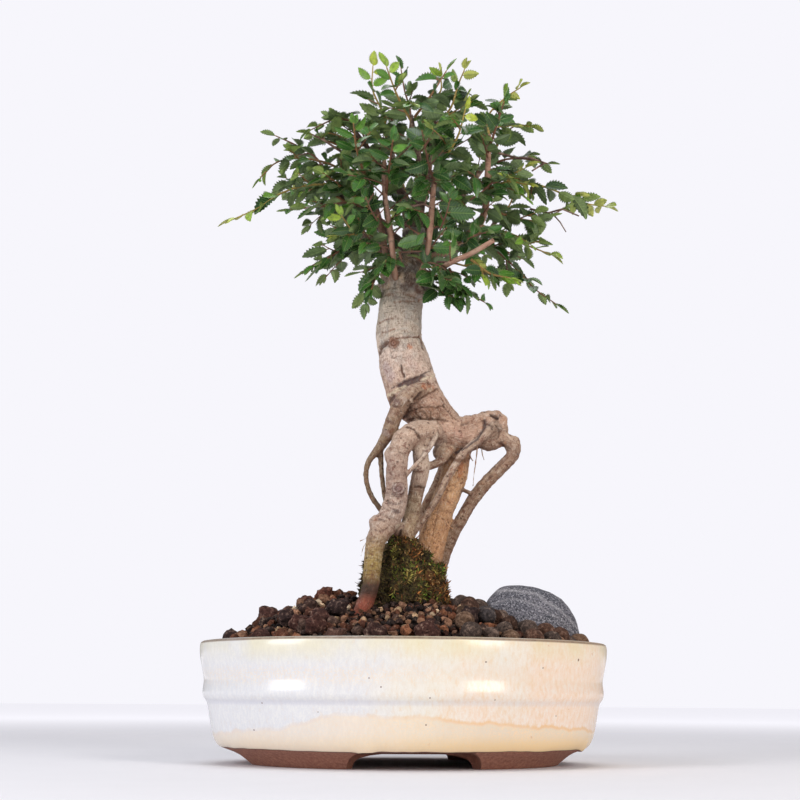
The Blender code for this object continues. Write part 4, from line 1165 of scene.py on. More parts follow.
barkMarks = (
    # points by column and row of the picture, half width mm, depth mm (below 0 is a groove), colour, strength
    # The collar and the upper trunk
    (((408, 283), (415, 288), (424, 293)), 2.2, -0.3, (84, 52, 42), 0.75),
    (((414, 279), (420, 284), (427, 290)), 1.0, -0.5, (52, 36, 32), 0.8),
    (((421, 277), (426, 283), (427, 292)), 3.0, 0.3, (70, 48, 46), 0.85),
    (((416, 272), (420, 279), (421, 286)), 1.6, -0.6, (58, 40, 38), 0.85),
    (((384, 283), (389, 279), (397, 277)), 1.8, -0.4, (100, 70, 56), 0.7),
    (((402, 285), (410, 286), (419, 292)), 1.3, -0.4, (92, 66, 54), 0.7),
    (((404, 269), (411, 267), (417, 271)), 3.2, 0.2, (130, 126, 118), 0.6),
    (((382, 296), (390, 294), (396, 296)), 0.8, -0.4, (132, 88, 58), 0.8),
    (((404, 293), (412, 296), (420, 301)), 0.9, -0.4, (132, 88, 58), 0.7),
    (((398, 284), (404, 287), (410, 290)), 0.7, -0.3, (98, 78, 66), 0.6),
    (((386, 290), (392, 287), (398, 289)), 0.6, -0.3, (104, 84, 70), 0.6),
    (((394, 302), (406, 301), (419, 302)), 0.7, -0.3, (136, 84, 50), 0.8),
    (((402, 312), (412, 310), (424, 311)), 0.45, -0.25, (124, 98, 78), 0.5),
    (((378.6, 323), (386, 320), (393, 318.7)), 0.8, -0.4, (122, 78, 54), 0.85),
    (((381, 334), (388, 331), (394, 329)), 0.7, -0.4, (128, 84, 56), 0.85),
    (((379, 347), (388, 339), (400, 334.6), (411, 334), (421, 334.6)), 0.9, 0.5, (204, 188, 168), 0.5),
    # The next two marks are painted shadow under the bark ledge: a dark line, to the right also the ledge's own
    # orange-brown, and a dark band at its left end.
    (((380, 350), (389, 342), (400, 337.6), (411, 337), (421, 337.6)), 0.9, -0.8, (112, 70, 48), 0.95),
    (((387, 342), (381, 348), (378.5, 358)), 2.2, -0.8, (88, 58, 44), 0.9),
    (((393.8, 342.8),), 3.7, 0.2, (92, 56, 42), 0.9),
    (((393.8, 342.8),), 3.0, 0.3, (150, 110, 88), 0.9),
    (((393.8, 342.8),), 2.1, -0.6, (84, 50, 40), 0.9),
    (((393.8, 342.8),), 1.3, 0.5, (150, 108, 88), 0.9),
    (((393.8, 342.8),), 0.5, -0.2, (70, 44, 36), 0.9),
    (((419, 337), (421.5, 341), (422.5, 348)), 1.3, -0.5, (96, 58, 42), 0.9),
    (((409.7, 346.8),), 1.7, -0.1, (186, 112, 72), 0.75),
    (((393, 357.8), (399, 356.4), (405.5, 356.8)), 0.6, -0.35, (116, 86, 68), 0.75),
    (((391.5, 353), (392, 357)), 0.7, -0.3, (96, 72, 60), 0.7),
    (((400.6, 365), (402, 370), (404.8, 376.4)), 1.0, -1.0, (72, 46, 36), 0.95),
    # The torn band
    # The next two dark strokes along the flake edge are painted shadow under the torn flake.
    (((391.7, 388.5), (398, 384.5), (405.5, 381), (418, 376), (429.8, 370.5), (433, 365)), 0.6, -0.6, (80, 58, 52), 0.95),
    (((399, 386), (411, 381), (424, 377)), 2.1, -0.9, (72, 56, 58), 0.9),
    # The next two dark grooves along the first root's sides are painted shade where the root meets the trunk.
    (((394, 395), (390, 402), (387, 410)), 1.3, -0.8, (70, 50, 40), 0.85),
    (((420, 393), (414, 401), (408, 410), (403, 420)), 1.2, -1.0, (62, 42, 34), 0.9),
    (((424, 385), (427, 388), (432, 387)), 2.2, -0.2, (170, 104, 70), 0.6),
    (((388.5, 396), (396, 391), (404.4, 387)), 1.3, 0.6, (222, 202, 172), 0.85),
    (((423, 379.5), (429, 377.5), (434, 375)), 1.2, 0.55, (220, 200, 174), 0.85),
    (((417, 384), (426, 383.6), (435, 383)), 0.5, -0.4, (118, 62, 48), 0.85),
    (((423.4, 387),), 1.6, -0.1, (190, 118, 78), 0.8),
    (((427.7, 390.5), (431, 389.5)), 1.4, 0.2, (220, 194, 166), 0.7),
    (((413, 402), (423.4, 397), (431, 392), (439.3, 388)), 0.7, -0.6, (96, 66, 50), 0.9),
    (((408, 402), (412, 396), (415, 391)), 0.7, -0.4, (98, 72, 56), 0.7),
    # The cracked, scaly stretch below it
    (((409, 414), (422, 412), (440, 413)), 4.2, 0.0, (136, 102, 78), 0.55),
    (((407, 413), (418, 408), (430, 407), (444, 406)), 0.7, -0.6, (84, 60, 46), 0.9),
    (((408, 420), (420, 418), (436, 420), (448, 421)), 0.7, -0.6, (84, 60, 46), 0.9),
    (((414, 408), (416, 414), (421, 419)), 0.6, -0.5, (84, 60, 46), 0.9),
    (((428, 407), (431, 413), (430, 420)), 0.6, -0.5, (88, 64, 48), 0.9),
    (((437, 407), (440, 413), (438, 420)), 0.5, -0.4, (92, 66, 50), 0.8),
    (((420, 411), (425, 413), (427, 418)), 0.5, -0.4, (92, 66, 50), 0.8),
    (((441, 397), (446, 409), (456, 420)), 0.6, -0.45, (112, 80, 62), 0.8),
    (((407, 426), (414, 430), (420, 437)), 1.0, -0.7, (76, 56, 44), 0.9),
    (((388, 402), (392, 406), (400, 408)), 0.9, -0.4, (112, 84, 68), 0.8),
    (((390, 412), (398, 414)), 0.7, -0.3, (122, 92, 76), 0.7),
    # The arm with its broken end
    (((456, 431), (461, 435)), 2.2, 0.0, (196, 152, 132), 0.6),
    (((462, 425), (470, 422)), 0.8, -0.35, (116, 94, 82), 0.7),
    (((451, 437), (462, 443), (474, 444)), 0.7, -0.35, (124, 94, 78), 0.6),
    # The broken end's hollow is painted near black: painted shade in the hollow.
    (((490, 414.5), (494, 415.5), (497, 418)), 1.3, -1.6, (50, 38, 36), 0.95),
    (((484, 421), (488, 424), (493, 427)), 0.8, -0.6, (104, 82, 72), 0.8),
    (((486, 421), (483, 430), (477, 439), (466, 447), (456, 453)), 1.0, -0.8, (78, 70, 70), 0.9),
    (((497, 426), (499, 433), (497, 439)), 0.7, -0.5, (96, 74, 62), 0.8),
    (((499, 443), (504, 447), (510, 448)), 0.8, -0.5, (92, 70, 58), 0.8),
    (((505, 455), (500, 459)), 0.7, -0.3, (110, 84, 68), 0.7),
    # Roots
    (((409, 452), (409.5, 462), (409, 472)), 0.6, -0.3, (148, 82, 66), 0.6),
    (((396, 445), (400, 452), (406, 456)), 0.6, -0.3, (120, 94, 78), 0.6),
    (((388, 462), (396, 464), (404, 462)), 0.6, -0.35, (122, 100, 90), 0.6),
    (((389, 474), (397, 476), (405, 474)), 0.6, -0.35, (116, 96, 90), 0.6),
    (((398.5, 488.5),), 4.0, 0.3, (92, 62, 56), 0.85),
    (((398.5, 488.5),), 3.2, 0.2, (198, 176, 166), 0.85),
    (((398.5, 488.5),), 2.2, -0.5, (94, 66, 66), 0.9),
    (((398.5, 489),), 1.2, 0.2, (160, 132, 128), 0.8),
    # The first root at the left
    (((391, 405), (396, 407), (401, 406)), 0.8, -0.5, (92, 64, 56), 0.8),
    # A dark patch on the first root: painted shadow.
    (((394, 399), (398, 403)), 1.9, -0.2, (112, 86, 84), 0.7),
    (((401, 397), (405, 400)), 1.2, 0.2, (212, 190, 174), 0.6),
    (((410, 399), (413, 403)), 1.1, 0.2, (206, 184, 164), 0.6),
    (((388, 421), (393, 423)), 0.9, -0.4, (100, 74, 66), 0.75),
    (((393, 412), (389, 417)), 1.0, 0.2, (204, 180, 160), 0.5),
    (((383, 431), (388, 434)), 1.8, 0.1, (146, 128, 122), 0.6),
    (((380, 443), (385, 445)), 0.8, -0.3, (96, 72, 64), 0.7),
    # The elbowed root
    (((506, 458), (500, 463), (496, 470)), 0.9, -0.3, (112, 76, 60), 0.7),
    (((491, 476), (486, 481)), 1.0, -0.4, (104, 74, 60), 0.75),
    (((478, 489), (472, 497)), 1.3, -0.2, (124, 86, 68), 0.6),
    (((466, 503), (462, 508)), 1.0, -0.4, (96, 66, 54), 0.75),
    (((508, 436), (513, 440)), 1.4, 0.2, (206, 180, 158), 0.6),
    (((501, 443), (505, 450)), 1.2, -0.5, (88, 58, 48), 0.85),
    (((488, 470), (480, 480), (470, 490)), 0.6, 0.25, (206, 178, 152), 0.55),
    # The broad root and the one left of it
    (((452, 470), (448, 486), (444, 500)), 0.7, -0.3, (150, 96, 66), 0.55),
    (((430, 500), (428, 516), (424, 530)), 0.7, -0.3, (140, 100, 74), 0.55),
    (((436, 512), (446, 511), (452, 513)), 0.6, -0.3, (140, 98, 72), 0.55),
    (((412, 470), (418, 472), (424, 470)), 0.7, -0.35, (120, 88, 72), 0.7),
    (((411, 512), (417, 514), (423, 512)), 0.7, -0.35, (120, 88, 66), 0.7),
    (((404, 520), (411, 522)), 0.8, -0.3, (132, 92, 66), 0.6),
    # The trunk above the torn band
    (((386, 368), (391, 377)), 3.6, 0.0, (176, 156, 158), 0.45),
    (((410, 362), (416, 368)), 3.2, 0.0, (190, 160, 150), 0.4),
    (((392, 494), (398, 497), (404, 494)), 0.7, -0.45, (98, 80, 78), 0.8),
    (((388, 503), (396, 505), (403, 502)), 0.6, -0.35, (108, 90, 86), 0.7),
    (((394, 511), (398, 512)), 1.2, -0.4, (92, 74, 72), 0.85),
    (((390, 515), (393, 513)), 1.9, 0.15, (198, 180, 168), 0.6),
    (((372, 521), (377, 518.5), (383, 521)), 0.7, -0.45, (104, 78, 66), 0.75),
    (((375, 530), (382, 531), (389, 528)), 0.6, -0.35, (108, 84, 72), 0.7),
    (((370, 541), (377, 543), (384, 540)), 0.6, -0.35, (120, 92, 62), 0.7),
    (((396, 541), (399, 536), (401, 531)), 1.0, -0.8, (50, 36, 30), 0.9),
    (((396, 527), (402, 524), (406, 519)), 1.4, 0.3, (206, 186, 162), 0.7),
    (((414, 487), (420, 486), (425, 488)), 0.9, -0.7, (74, 54, 44), 0.95),
    (((413, 501), (418, 502), (423, 500)), 0.6, -0.3, (126, 98, 74), 0.7),
    (((418, 492), (421, 506)), 0.9, 0.1, (204, 182, 156), 0.5),
    (((462, 466), (460, 474)), 2.2, 0.0, (172, 106, 64), 0.75),
    (((452, 459), (462, 461), (470, 459)), 1.6, -0.2, (96, 64, 46), 0.75),
    (((440, 500), (437, 514), (434, 528)), 0.5, -0.25, (150, 112, 82), 0.6),
    (((455, 542), (458, 541)), 1.3, -0.2, (98, 72, 58), 0.7),
    (((457, 525), (459, 527)), 0.9, -0.3, (92, 66, 54), 0.8),
    (((440, 455), (436, 470), (432, 484)), 0.7, -0.35, (136, 92, 70), 0.6),
)
barkKnobs = (
    # column and row in the picture, mm away, radius in mm
    (409, 272, -6, 5.0), (417, 281, -6, 4.6), (424, 287, -4, 4.6), (420, 293, -7, 4.0), (428, 294, -2, 3.6),
    (415, 288, -9, 3.4), (389, 276, -8, 4.6), (391, 268, -10, 3.6), (386, 283, -6, 4.0), (382, 289, -3, 3.4),
    (414, 250, -2, 5.6), (410, 238, 0, 5.2), (418, 243, -3, 4.6), (393.8, 342.8, -10.6, 4.2),
    (467, 421.5, -4, 3.8), (476, 421, -4, 3.8), (458, 425, -6, 4.0), (484, 420.5, -2, 4.8), (490, 418, -1, 4.6), (496, 416.5, -1, 3.8),
    (500, 421, -2, 4.4), (501.5, 429, -3, 4.0), (501.5, 437, -3, 3.6), (491, 426, -4, 3.2), (504, 440, -2, 4.0),
    (510, 446, -2, 3.8), (514, 442, -2, 3.4), (377, 523, -20, 4.6), (399, 489, -21.4, 4.6), (389, 506, -21, 3.8),
    (372, 550, -23, 3.9), (400, 529, -13, 4.4), (393, 455, -17, 5.0), (405, 437, -14, 5.0), (443, 452, -4, 5.6),
)  # fmt: skip
rootHairs = (
    # points by column, row and mm away, radius in mm
    (((478, 443, -3), (476, 460, -5), (474, 475, -7), (473, 486, -6)), 0.45),
    (((482, 442, -2), (482, 452, -4), (484, 460, -5)), 0.6),
    (((468, 446, -5), (470, 456, -6), (473, 461, -7)), 0.6),
    (((446, 521, -3), (449, 526, -5), (453, 529, -6)), 0.45),
    (((370, 538, -26), (364, 546, -29), (361, 556, -28)), 0.4),
    (((371, 532, -26), (366, 538, -29), (360, 541, -29)), 0.4),
    (((388, 498, -24), (384, 503, -27), (382, 510, -27)), 0.4),
)


def nearestGuide():  # the routes of trunk and roots, to say what each point of bark belongs to
    samples = []
    for number, stations in enumerate((trunkStations, *(root["stations"] for root in rootList))):
        route, radii = stationRoute(stations, 1.5 * mm)
        run = 0.0
        side = None
        for i, (where, radius) in enumerate(zip(route, radii)):
            along = (route[min(i + 1, len(route) - 1)] - route[max(i - 1, 0)]).normalized()
            side = along.orthogonal() if side is None else side - along * side.dot(along)
            side.normalize()
            run += (where - route[i - 1]).length if i else 0
            samples.append((number, where, radius, along, side.copy(), run))
    tree = KDTree(len(samples))
    for index, sample in enumerate(samples):
        tree.insert(sample[1], index)
    tree.balance()
    return samples, tree


def makeBark():
    tubes = []
    for number, stations in enumerate((trunkStations, *(root["stations"] for root in rootList))):
        route, radii = stationRoute(stations, 2.5 * mm)
        thick = max(radii) > 3 * mm
        wobble = barkValues["wobble"] * (1 if thick else 0.6)
        tubes.append(meshObject(f"tube{number}", *sweep(route, radii, barkValues["sides"], wobble, number * 3.7)))
    for column, row, away, radius in barkKnobs:
        knob = ball("knob", 3)
        centre = inPicture(column, row, away)
        for vertex in knob.data.vertices:
            vertex.co = centre + vertex.co * radius * mm * (1 + 0.2 * noise.noise(vertex.co * 1.6 + centre * 900))
        tubes.append(knob)
    bark = joinAll("trunkAndRoots", tubes)
    remesh = bark.modifiers.new("skin", "REMESH")
    remesh.mode = "VOXEL"
    remesh.voxel_size = barkValues["voxel"]
    soften = bark.modifiers.new("soften", "SMOOTH")
    soften.factor, soften.iterations = 0.5, 4
    applyModifiers(bark)
    hairs = []
    for spots, radius in rootHairs:
        route = smoothRoute([inPicture(*spot) for spot in spots], mm)
        radii = [radius * mm * (1 - 0.5 * i / len(route)) for i in range(len(route))]
        hairs.append(meshObject("hair", *sweep(route, radii, 7)))
    return joinAll("trunkAndRoots", [bark, *hairs])


def shapeBark(bark):
    samples, guide = nearestGuide()
    mesh = bark.data
    surface = BVHTree.FromPolygons([v.co for v in mesh.vertices], [tuple(p.vertices) for p in mesh.polygons])
    hits = []
    for number, (spots, *_) in enumerate(barkMarks):
        for start, end in zip(spots, spots[1:] or spots):
            count = max(1, int(math.dist(start, end)))
            for i in range(count + 1):
                column, row = (a + (b - a) * i / count for a, b in zip(start, end))
                hit = surface.ray_cast(cameraPlace, photoRay(column, row))[0]
                if hit:
                    hits.append((hit, number))
    markTree = KDTree(len(hits))
    for index, (hit, _) in enumerate(hits):
        markTree.insert(hit, index)
    markTree.balance()
    tints = [[(h, paint(*c)) for h, c in trunkTints]] + [[(h, paint(*c)) for h, c in root["tints"]] for root in rootList]
    bands = [trunkBands, *(root["bands"] for root in rootList)]
    moves, colours, runs = [], [], []
    for vertex in mesh.vertices:
        co, normal = vertex.co, vertex.normal
        near = (samples[index] for _, index, _ in guide.find_n(co, 30))
        number, where, radius, along, side, run = min(near, key=lambda s: (co - s[1]).length - s[2])
        off = co - where
        run += off.dot(along)
        off -= along * off.dot(along)
        angle = math.atan2(off.dot(along.cross(side)), off.dot(side))
        ring = Vector((math.cos(angle), math.sin(angle), 0))
        wide = radius / mm
        straight = Vector((ring.x * wide, ring.y * wide, run / mm)) + Vector((number * 31, 0, 0))
        thick = smoothStep(wide, 1.5, 5)
        lift = noise.noise(co * 75) * 0.55 * thick
        if number:
            ringed = 0.10 + bands[number] * 0.13
            lift += noise.noise(Vector((straight.x * 0.10, straight.y * 0.10, straight.z * 0.62))) * ringed * (0.3 + thick)
            lift += noise.noise(Vector((straight.x * 0.45, straight.y * 0.45, straight.z * 0.05))) * 0.34 * thick
        else:
            tilt = run / mm + ring.x * 1.5
            lift += noise.noise(Vector((straight.x * 0.05, straight.y * 0.05, tilt * 0.38))) * 0.18
            lift += noise.noise(Vector((straight.x * 0.3, straight.y * 0.3, tilt * 0.25))) * 0.26
        lift += noise.noise(co * 420) * 0.20 + noise.noise(co * 900) * 0.12
        scaly = 0 if number else smoothStep(co.z / mm, 257, 266)
        crust = noise.noise(co * 210) + 0.6 * noise.noise(co * 470)
        lift += crust * 1.3 * scaly
        colour = rampAt(tints[number], co.z / mm)[:3]
        shade = 1 + 0.16 * noise.noise(co * 55) + 0.12 * noise.noise(co * 190)
        colour = tuple(part * shade for part in colour)
        # Faces turned down are painted darker and redder, faces turned up paler: painted shade below and painted light
        # on top.
        colour = blendColour(colour, paint(104, 66, 46)[:3], 0.58 * smoothStep(-normal.z, -0.05, 0.8))
        colour = blendColour(colour, paint(214, 192, 176)[:3], 0.3 * smoothStep(normal.z, 0.1, 0.8))
        # On the collar the crust's hollows are painted dark and its knobs pale: painted shade in the hollows, painted
        # highlight on the knobs.
        colour = blendColour(colour, paint(72, 48, 40)[:3], 0.7 * scaly * smoothStep(-crust, 0.02, 0.35))
        colour = blendColour(colour, paint(216, 186, 148)[:3], 0.55 * scaly * smoothStep(crust, 0.08, 0.4))
        move = lift * mm
        gaps = {}
        jagged = noise.noise_vector(co * 700) * 0.35 * mm + noise.noise_vector(co * 230) * 0.6 * mm
        for _, index, gap in markTree.find_range(co + jagged, barkValues["reach"]):
            hit, mark = hits[index]
            if len(barkMarks[mark][0]) == 1:
                gap = (hit - co).length
            gaps[mark] = min(gap, gaps.get(mark, gap))
        wave = 1 + 0.4 * noise.noise(co * 600) + 0.4 * noise.noise(co * 250)
        for mark in sorted(gaps):
            _, width, depth, markColour, strength = barkMarks[mark]
            if len(barkMarks[mark][0]) == 1:
                share = 1 - smoothStep(gaps[mark] / mm, width * 0.8, width * 1.1)
            else:
                share = 1 - smoothStep(gaps[mark] / mm, width * 0.5 * wave, width * 1.2 * wave)
            move += depth * share * mm
            colour = blendColour(colour, paint(*markColour)[:3], strength * share)
        moves.append(co + normal * move)
        colours += [*colour, bands[number]]
        runs += [*straight]
    mesh.vertices.foreach_set("co", [part for co in moves for part in co])
    mesh.attributes.new("barkTint", "FLOAT_COLOR", "POINT").data.foreach_set("color", colours)
    mesh.attributes.new("barkRun", "FLOAT_VECTOR", "POINT").data.foreach_set("vector", runs)
    mesh.update()


def barkMaterial():
    material, shader, wire = newMaterial("elmBark", paint(170, 145, 124), Specular_IOR_Level=0.3)
    tint = attribute(wire, "barkTint")
    ringed = attribute(wire, "barkTint", "Alpha")
    run = attribute(wire, "barkRun", "Vector")
    pale = channels(wire, tint)[1].between(0.03, 0.20)
    where = objectPlace(wire)
    height = axes(wire, where)[2] * 1000
    upper = height.between(196, 232)
    bands = run.scaled(0.10, 0.10, 1).noise(0.75, 4.0, 0.6, 0.4)
    dashes = run.scaled(0.35, 0.35, 1.6).noise(0.8, 3.0, 0.6)
    grain = run.scaled(1.3, 1.3, 0.35).noise(1.1, 4.0, 0.65)
    fine = where.noise(1400.0, 3.0, 0.7)
    flakes = where.noise(460.0, 4.0, 0.7, 0.4)
    patches = where.noise(130.0, 4.0, 0.6, 0.5)
    blotches = where.noise(62.0, 3.0, 0.6)
    spread = run.scaled(0.22, 0.22, 0.36)
    pit = (1 - spread.cells(1.0).between(0.08, 0.24)) * channels(wire, spread.cells(1.0, output="Color"))[0].between(0.45, 0.6)
    colour = (bands.between(0.54, 0.68) * ringed * 0.50).mix(tint, paint(120, 88, 70))
    colour = ((1 - bands).between(0.56, 0.74) * ringed * pale * 0.48).mix(colour, paint(214, 200, 184))
    colour = (dashes.between(0.60, 0.70) * (0.30 + upper * 0.30)).mix(colour, paint(132, 88, 62))
    colour = ((1 - dashes).between(0.62, 0.72) * pale * 0.40).mix(colour, paint(212, 198, 180))
    colour = (grain.between(0.50, 0.64) * (0.34 + upper * 0.16)).mix(colour, paint(108, 86, 70))
    colour = ((1 - grain).between(0.54, 0.66) * pale * (0.35 + upper * 0.2)).mix(colour, paint(226, 216, 202))
    colour = (blotches.between(0.52, 0.68) * (0.40 - upper * 0.25)).mix(colour, paint(128, 90, 70))
    grey = patches.between(0.46, 0.66) * upper * 0.50
    colour = grey.mix(colour, paint(160, 157, 150))
    rust = patches.between(0.60, 0.72) * (1 - upper) * 0.35
    colour = rust.mix(colour, paint(176, 116, 80))
    colour = (flakes.between(0.56, 0.61) * (0.66 - upper * 0.34)).mix(colour, paint(108, 64, 50))
    colour = ((1 - flakes).between(0.55, 0.65) * pale * (0.20 + upper * 0.26)).mix(colour, paint(222, 206, 192))
    colour = (fine.between(0.55, 0.68) * 0.42).mix(colour, paint(92, 62, 50))
    colour = ((1 - fine).between(0.58, 0.72) * pale * (0.20 + upper * 0.15)).mix(colour, paint(236, 222, 206))
    colour = (pit * (0.75 - upper * 0.4)).mix(colour, paint(78, 56, 46))
    connect(shader, "Base Color", colour)
    connect(shader, "Roughness", 0.62 + grain * 0.2)
    relief = (1 - bands.between(0.5, 0.68) * ringed) * 0.6 + (1 - grain) * 0.55 + (1 - fine) * 0.25
    relief = relief + (1 - pit) * 0.5 + (1 - dashes.between(0.58, 0.7)) * 0.35 + patches * 0.8 + (1 - flakes) * 1.1
    bumped(shader, wire, relief, 0.85 * mm)
    return material


bark = makeBark()
shapeBark(bark)
elmBark = barkMaterial()
setMaterials(bark, elmBark)
finishPiece(bark, ["trunk_and_roots"])
report(f"trunk and roots have {len(bark.data.polygons)} faces")

# Limbs

limbStations = (
    ((-5, -2, 262, 3), (-10, -9, 270, 2.2), (-11.4, -14, 279, 2), (-14, -18, 292, 1.8), (-17, -21, 304, 1.7),
     (-25, -27, 328, 1.3)),
    ((-3, -6, 262, 2.6), (-6.8, -12, 271, 2), (-8, -24, 281, 1.7), (-10, -28, 295, 1.6), (-12, -31, 307, 1.5),
     (-12.8, -35, 319, 1.4), (-13, -37, 332, 1.1)),
    ((5, -4, 266, 2.8), (10.5, -18, 275, 1.8), (12.2, -26, 283, 1.7), (13.4, -29, 294, 1.7), (14, -32, 304, 1.6),
     (15.4, -34, 317, 1.5), (20, -40, 330, 1.2)),
    ((4, 0, 280, 3.2), (20, 0, 287, 2.6), (34, -6, 295, 2.4), (44, -14, 305, 2.1), (46, -24, 324, 1.8),
     (47, -27, 350, 1.3)),
    ((3, -2, 264, 2.2), (13.6, -12, 268, 1.7), (23.7, -30, 270.5, 1.5), (36, -36, 274.5, 1.45), (48, -42, 280, 1.4)),
    ((5, 2, 294, 4), (20, 10, 313, 3), (34, 14, 331, 2.3), (45, 18, 348, 1.8), (56, 22, 362, 1.3)),
    ((4, 2, 294, 4), (-1, 15, 322, 2.8), (-7, 25, 348, 2), (-11, 32, 374, 1.3)),
    ((5, 1, 296, 4.4), (8, 3, 322, 3.2), (13, 8, 346, 2.4), (16, 10, 370, 1.8), (15, 8, 391, 1.2)),
    ((1, 4, 278, 3.6), (-15, 25, 299, 2.6), (-31, 39, 316, 2), (-44, 46, 334, 1.3)),
    ((4, 4, 280, 3.6), (26, 29, 300, 2.6), (46, 44, 312, 2), (58, 50, 330, 1.3)),
    ((3, 5, 286, 3.6), (4, 30, 304, 2.6), (2, 50, 318, 2), (4, 60, 340, 1.3)),
    ((3, 1, 288, 3.6), (-19, 4, 308, 2.5), (-38, 3, 322, 1.9), (-50, 4, 338, 1.3)),
    ((-3, 18, 332, 2), (-18, 10, 350, 1.7), (-31, 0, 364, 1.2)),
    ((9, 4, 328, 2.2), (6, -14, 345, 1.7), (2, -27, 362, 1.2)),
)  # fmt: skip
# The inner limbs, inside the crown, get a darker copy of the limb tone: painted shade under the leaves.
limbTones = {"front": (156, 118, 98), "inner": (78, 60, 52), "bare": (86, 62, 54)}
bareTwigs = (
    # points by column, row and mm away, radius in mm
    (((495, 152, 6), (517, 158, 2), (531, 158, 0), (545, 163, -2), (538, 167, -2), (532, 171, -3)), 0.8),
    (((352, 158, 0), (337, 149, -6), (325, 141, -10), (313, 135, -12)), 0.8),
    (((325, 141, -10), (322, 134, -12)), 0.5),
    (((530, 209, -4), (548, 213, -6), (562, 209, -8), (579, 216, -8)), 0.7),
    (((552, 213, -6), (560, 222, -8), (566, 232, -8)), 0.5),
    (((400, 205, -40), (414, 206, -42), (424, 204, -42), (431, 208, -42)), 0.9),
    (((425, 204, -42), (427, 196, -42)), 0.6),
    (((437, 262, -24), (452, 262, -30), (470, 256, -34)), 0.8),
)


def makeLimbs():
    heap = Heap()
    for number, stations in enumerate(limbStations):
        route, radii = stationRoute(stations, 2 * mm)
        # Limbs from the sixth on lie inside the crown and take the painted-shade tone.
        tone = paint(*limbTones["front" if number < 5 else "inner"])
        points, faces = sweep(route, radii, 14, 0.22, number * 5.1)
        heap.add(points, faces, tone)
    for number, (spots, radius) in enumerate(bareTwigs):
        spots = [inPicture(*spot) for spot in spots]
        route = [a.lerp(b, i / 3) for a, b in zip(spots, spots[1:]) for i in range(3)] + spots[-1:]
        radii = [radius * mm * (1 - 0.45 * i / len(route)) for i in range(len(route))]
        heap.add(*sweep(route, radii, 8, 0.3, number * 2.3), paint(*limbTones["bare"]))
    return heap.build("limbs")


def limbMaterial():
    material, shader, wire = newMaterial("limbBark", paint(120, 92, 76), Specular_IOR_Level=0.3)
    tone = attribute(wire, "tone")
    where = objectPlace(wire)
    rings = where.scaled(0.35, 0.35, 1).noise(700.0, 4.0, 0.65)
    patches = where.noise(220.0, 4.0, 0.6)
    fine = where.noise(1900.0, 3.0, 0.7)
    colour = (patches.between(0.42, 0.68) * 0.55).mix(tone, paint(176, 148, 128))
    colour = (rings.between(0.52, 0.66) * 0.55).mix(colour, paint(66, 48, 40))
    colour = (fine.between(0.58, 0.72) * 0.5).mix(colour, paint(198, 178, 156))
    connect(shader, "Base Color", colour)
    connect(shader, "Roughness", 0.68 + rings * 0.2)
    bumped(shader, wire, rings * 0.8 + fine * 0.5, 0.4 * mm)
    return material


limbBark = limbMaterial()
limbs = makeLimbs()
setMaterials(limbs, limbBark)
finishPiece(limbs, ["trunk_and_roots"])

# Leafy shoots: (across, away, height) in mm, from the limb outwards

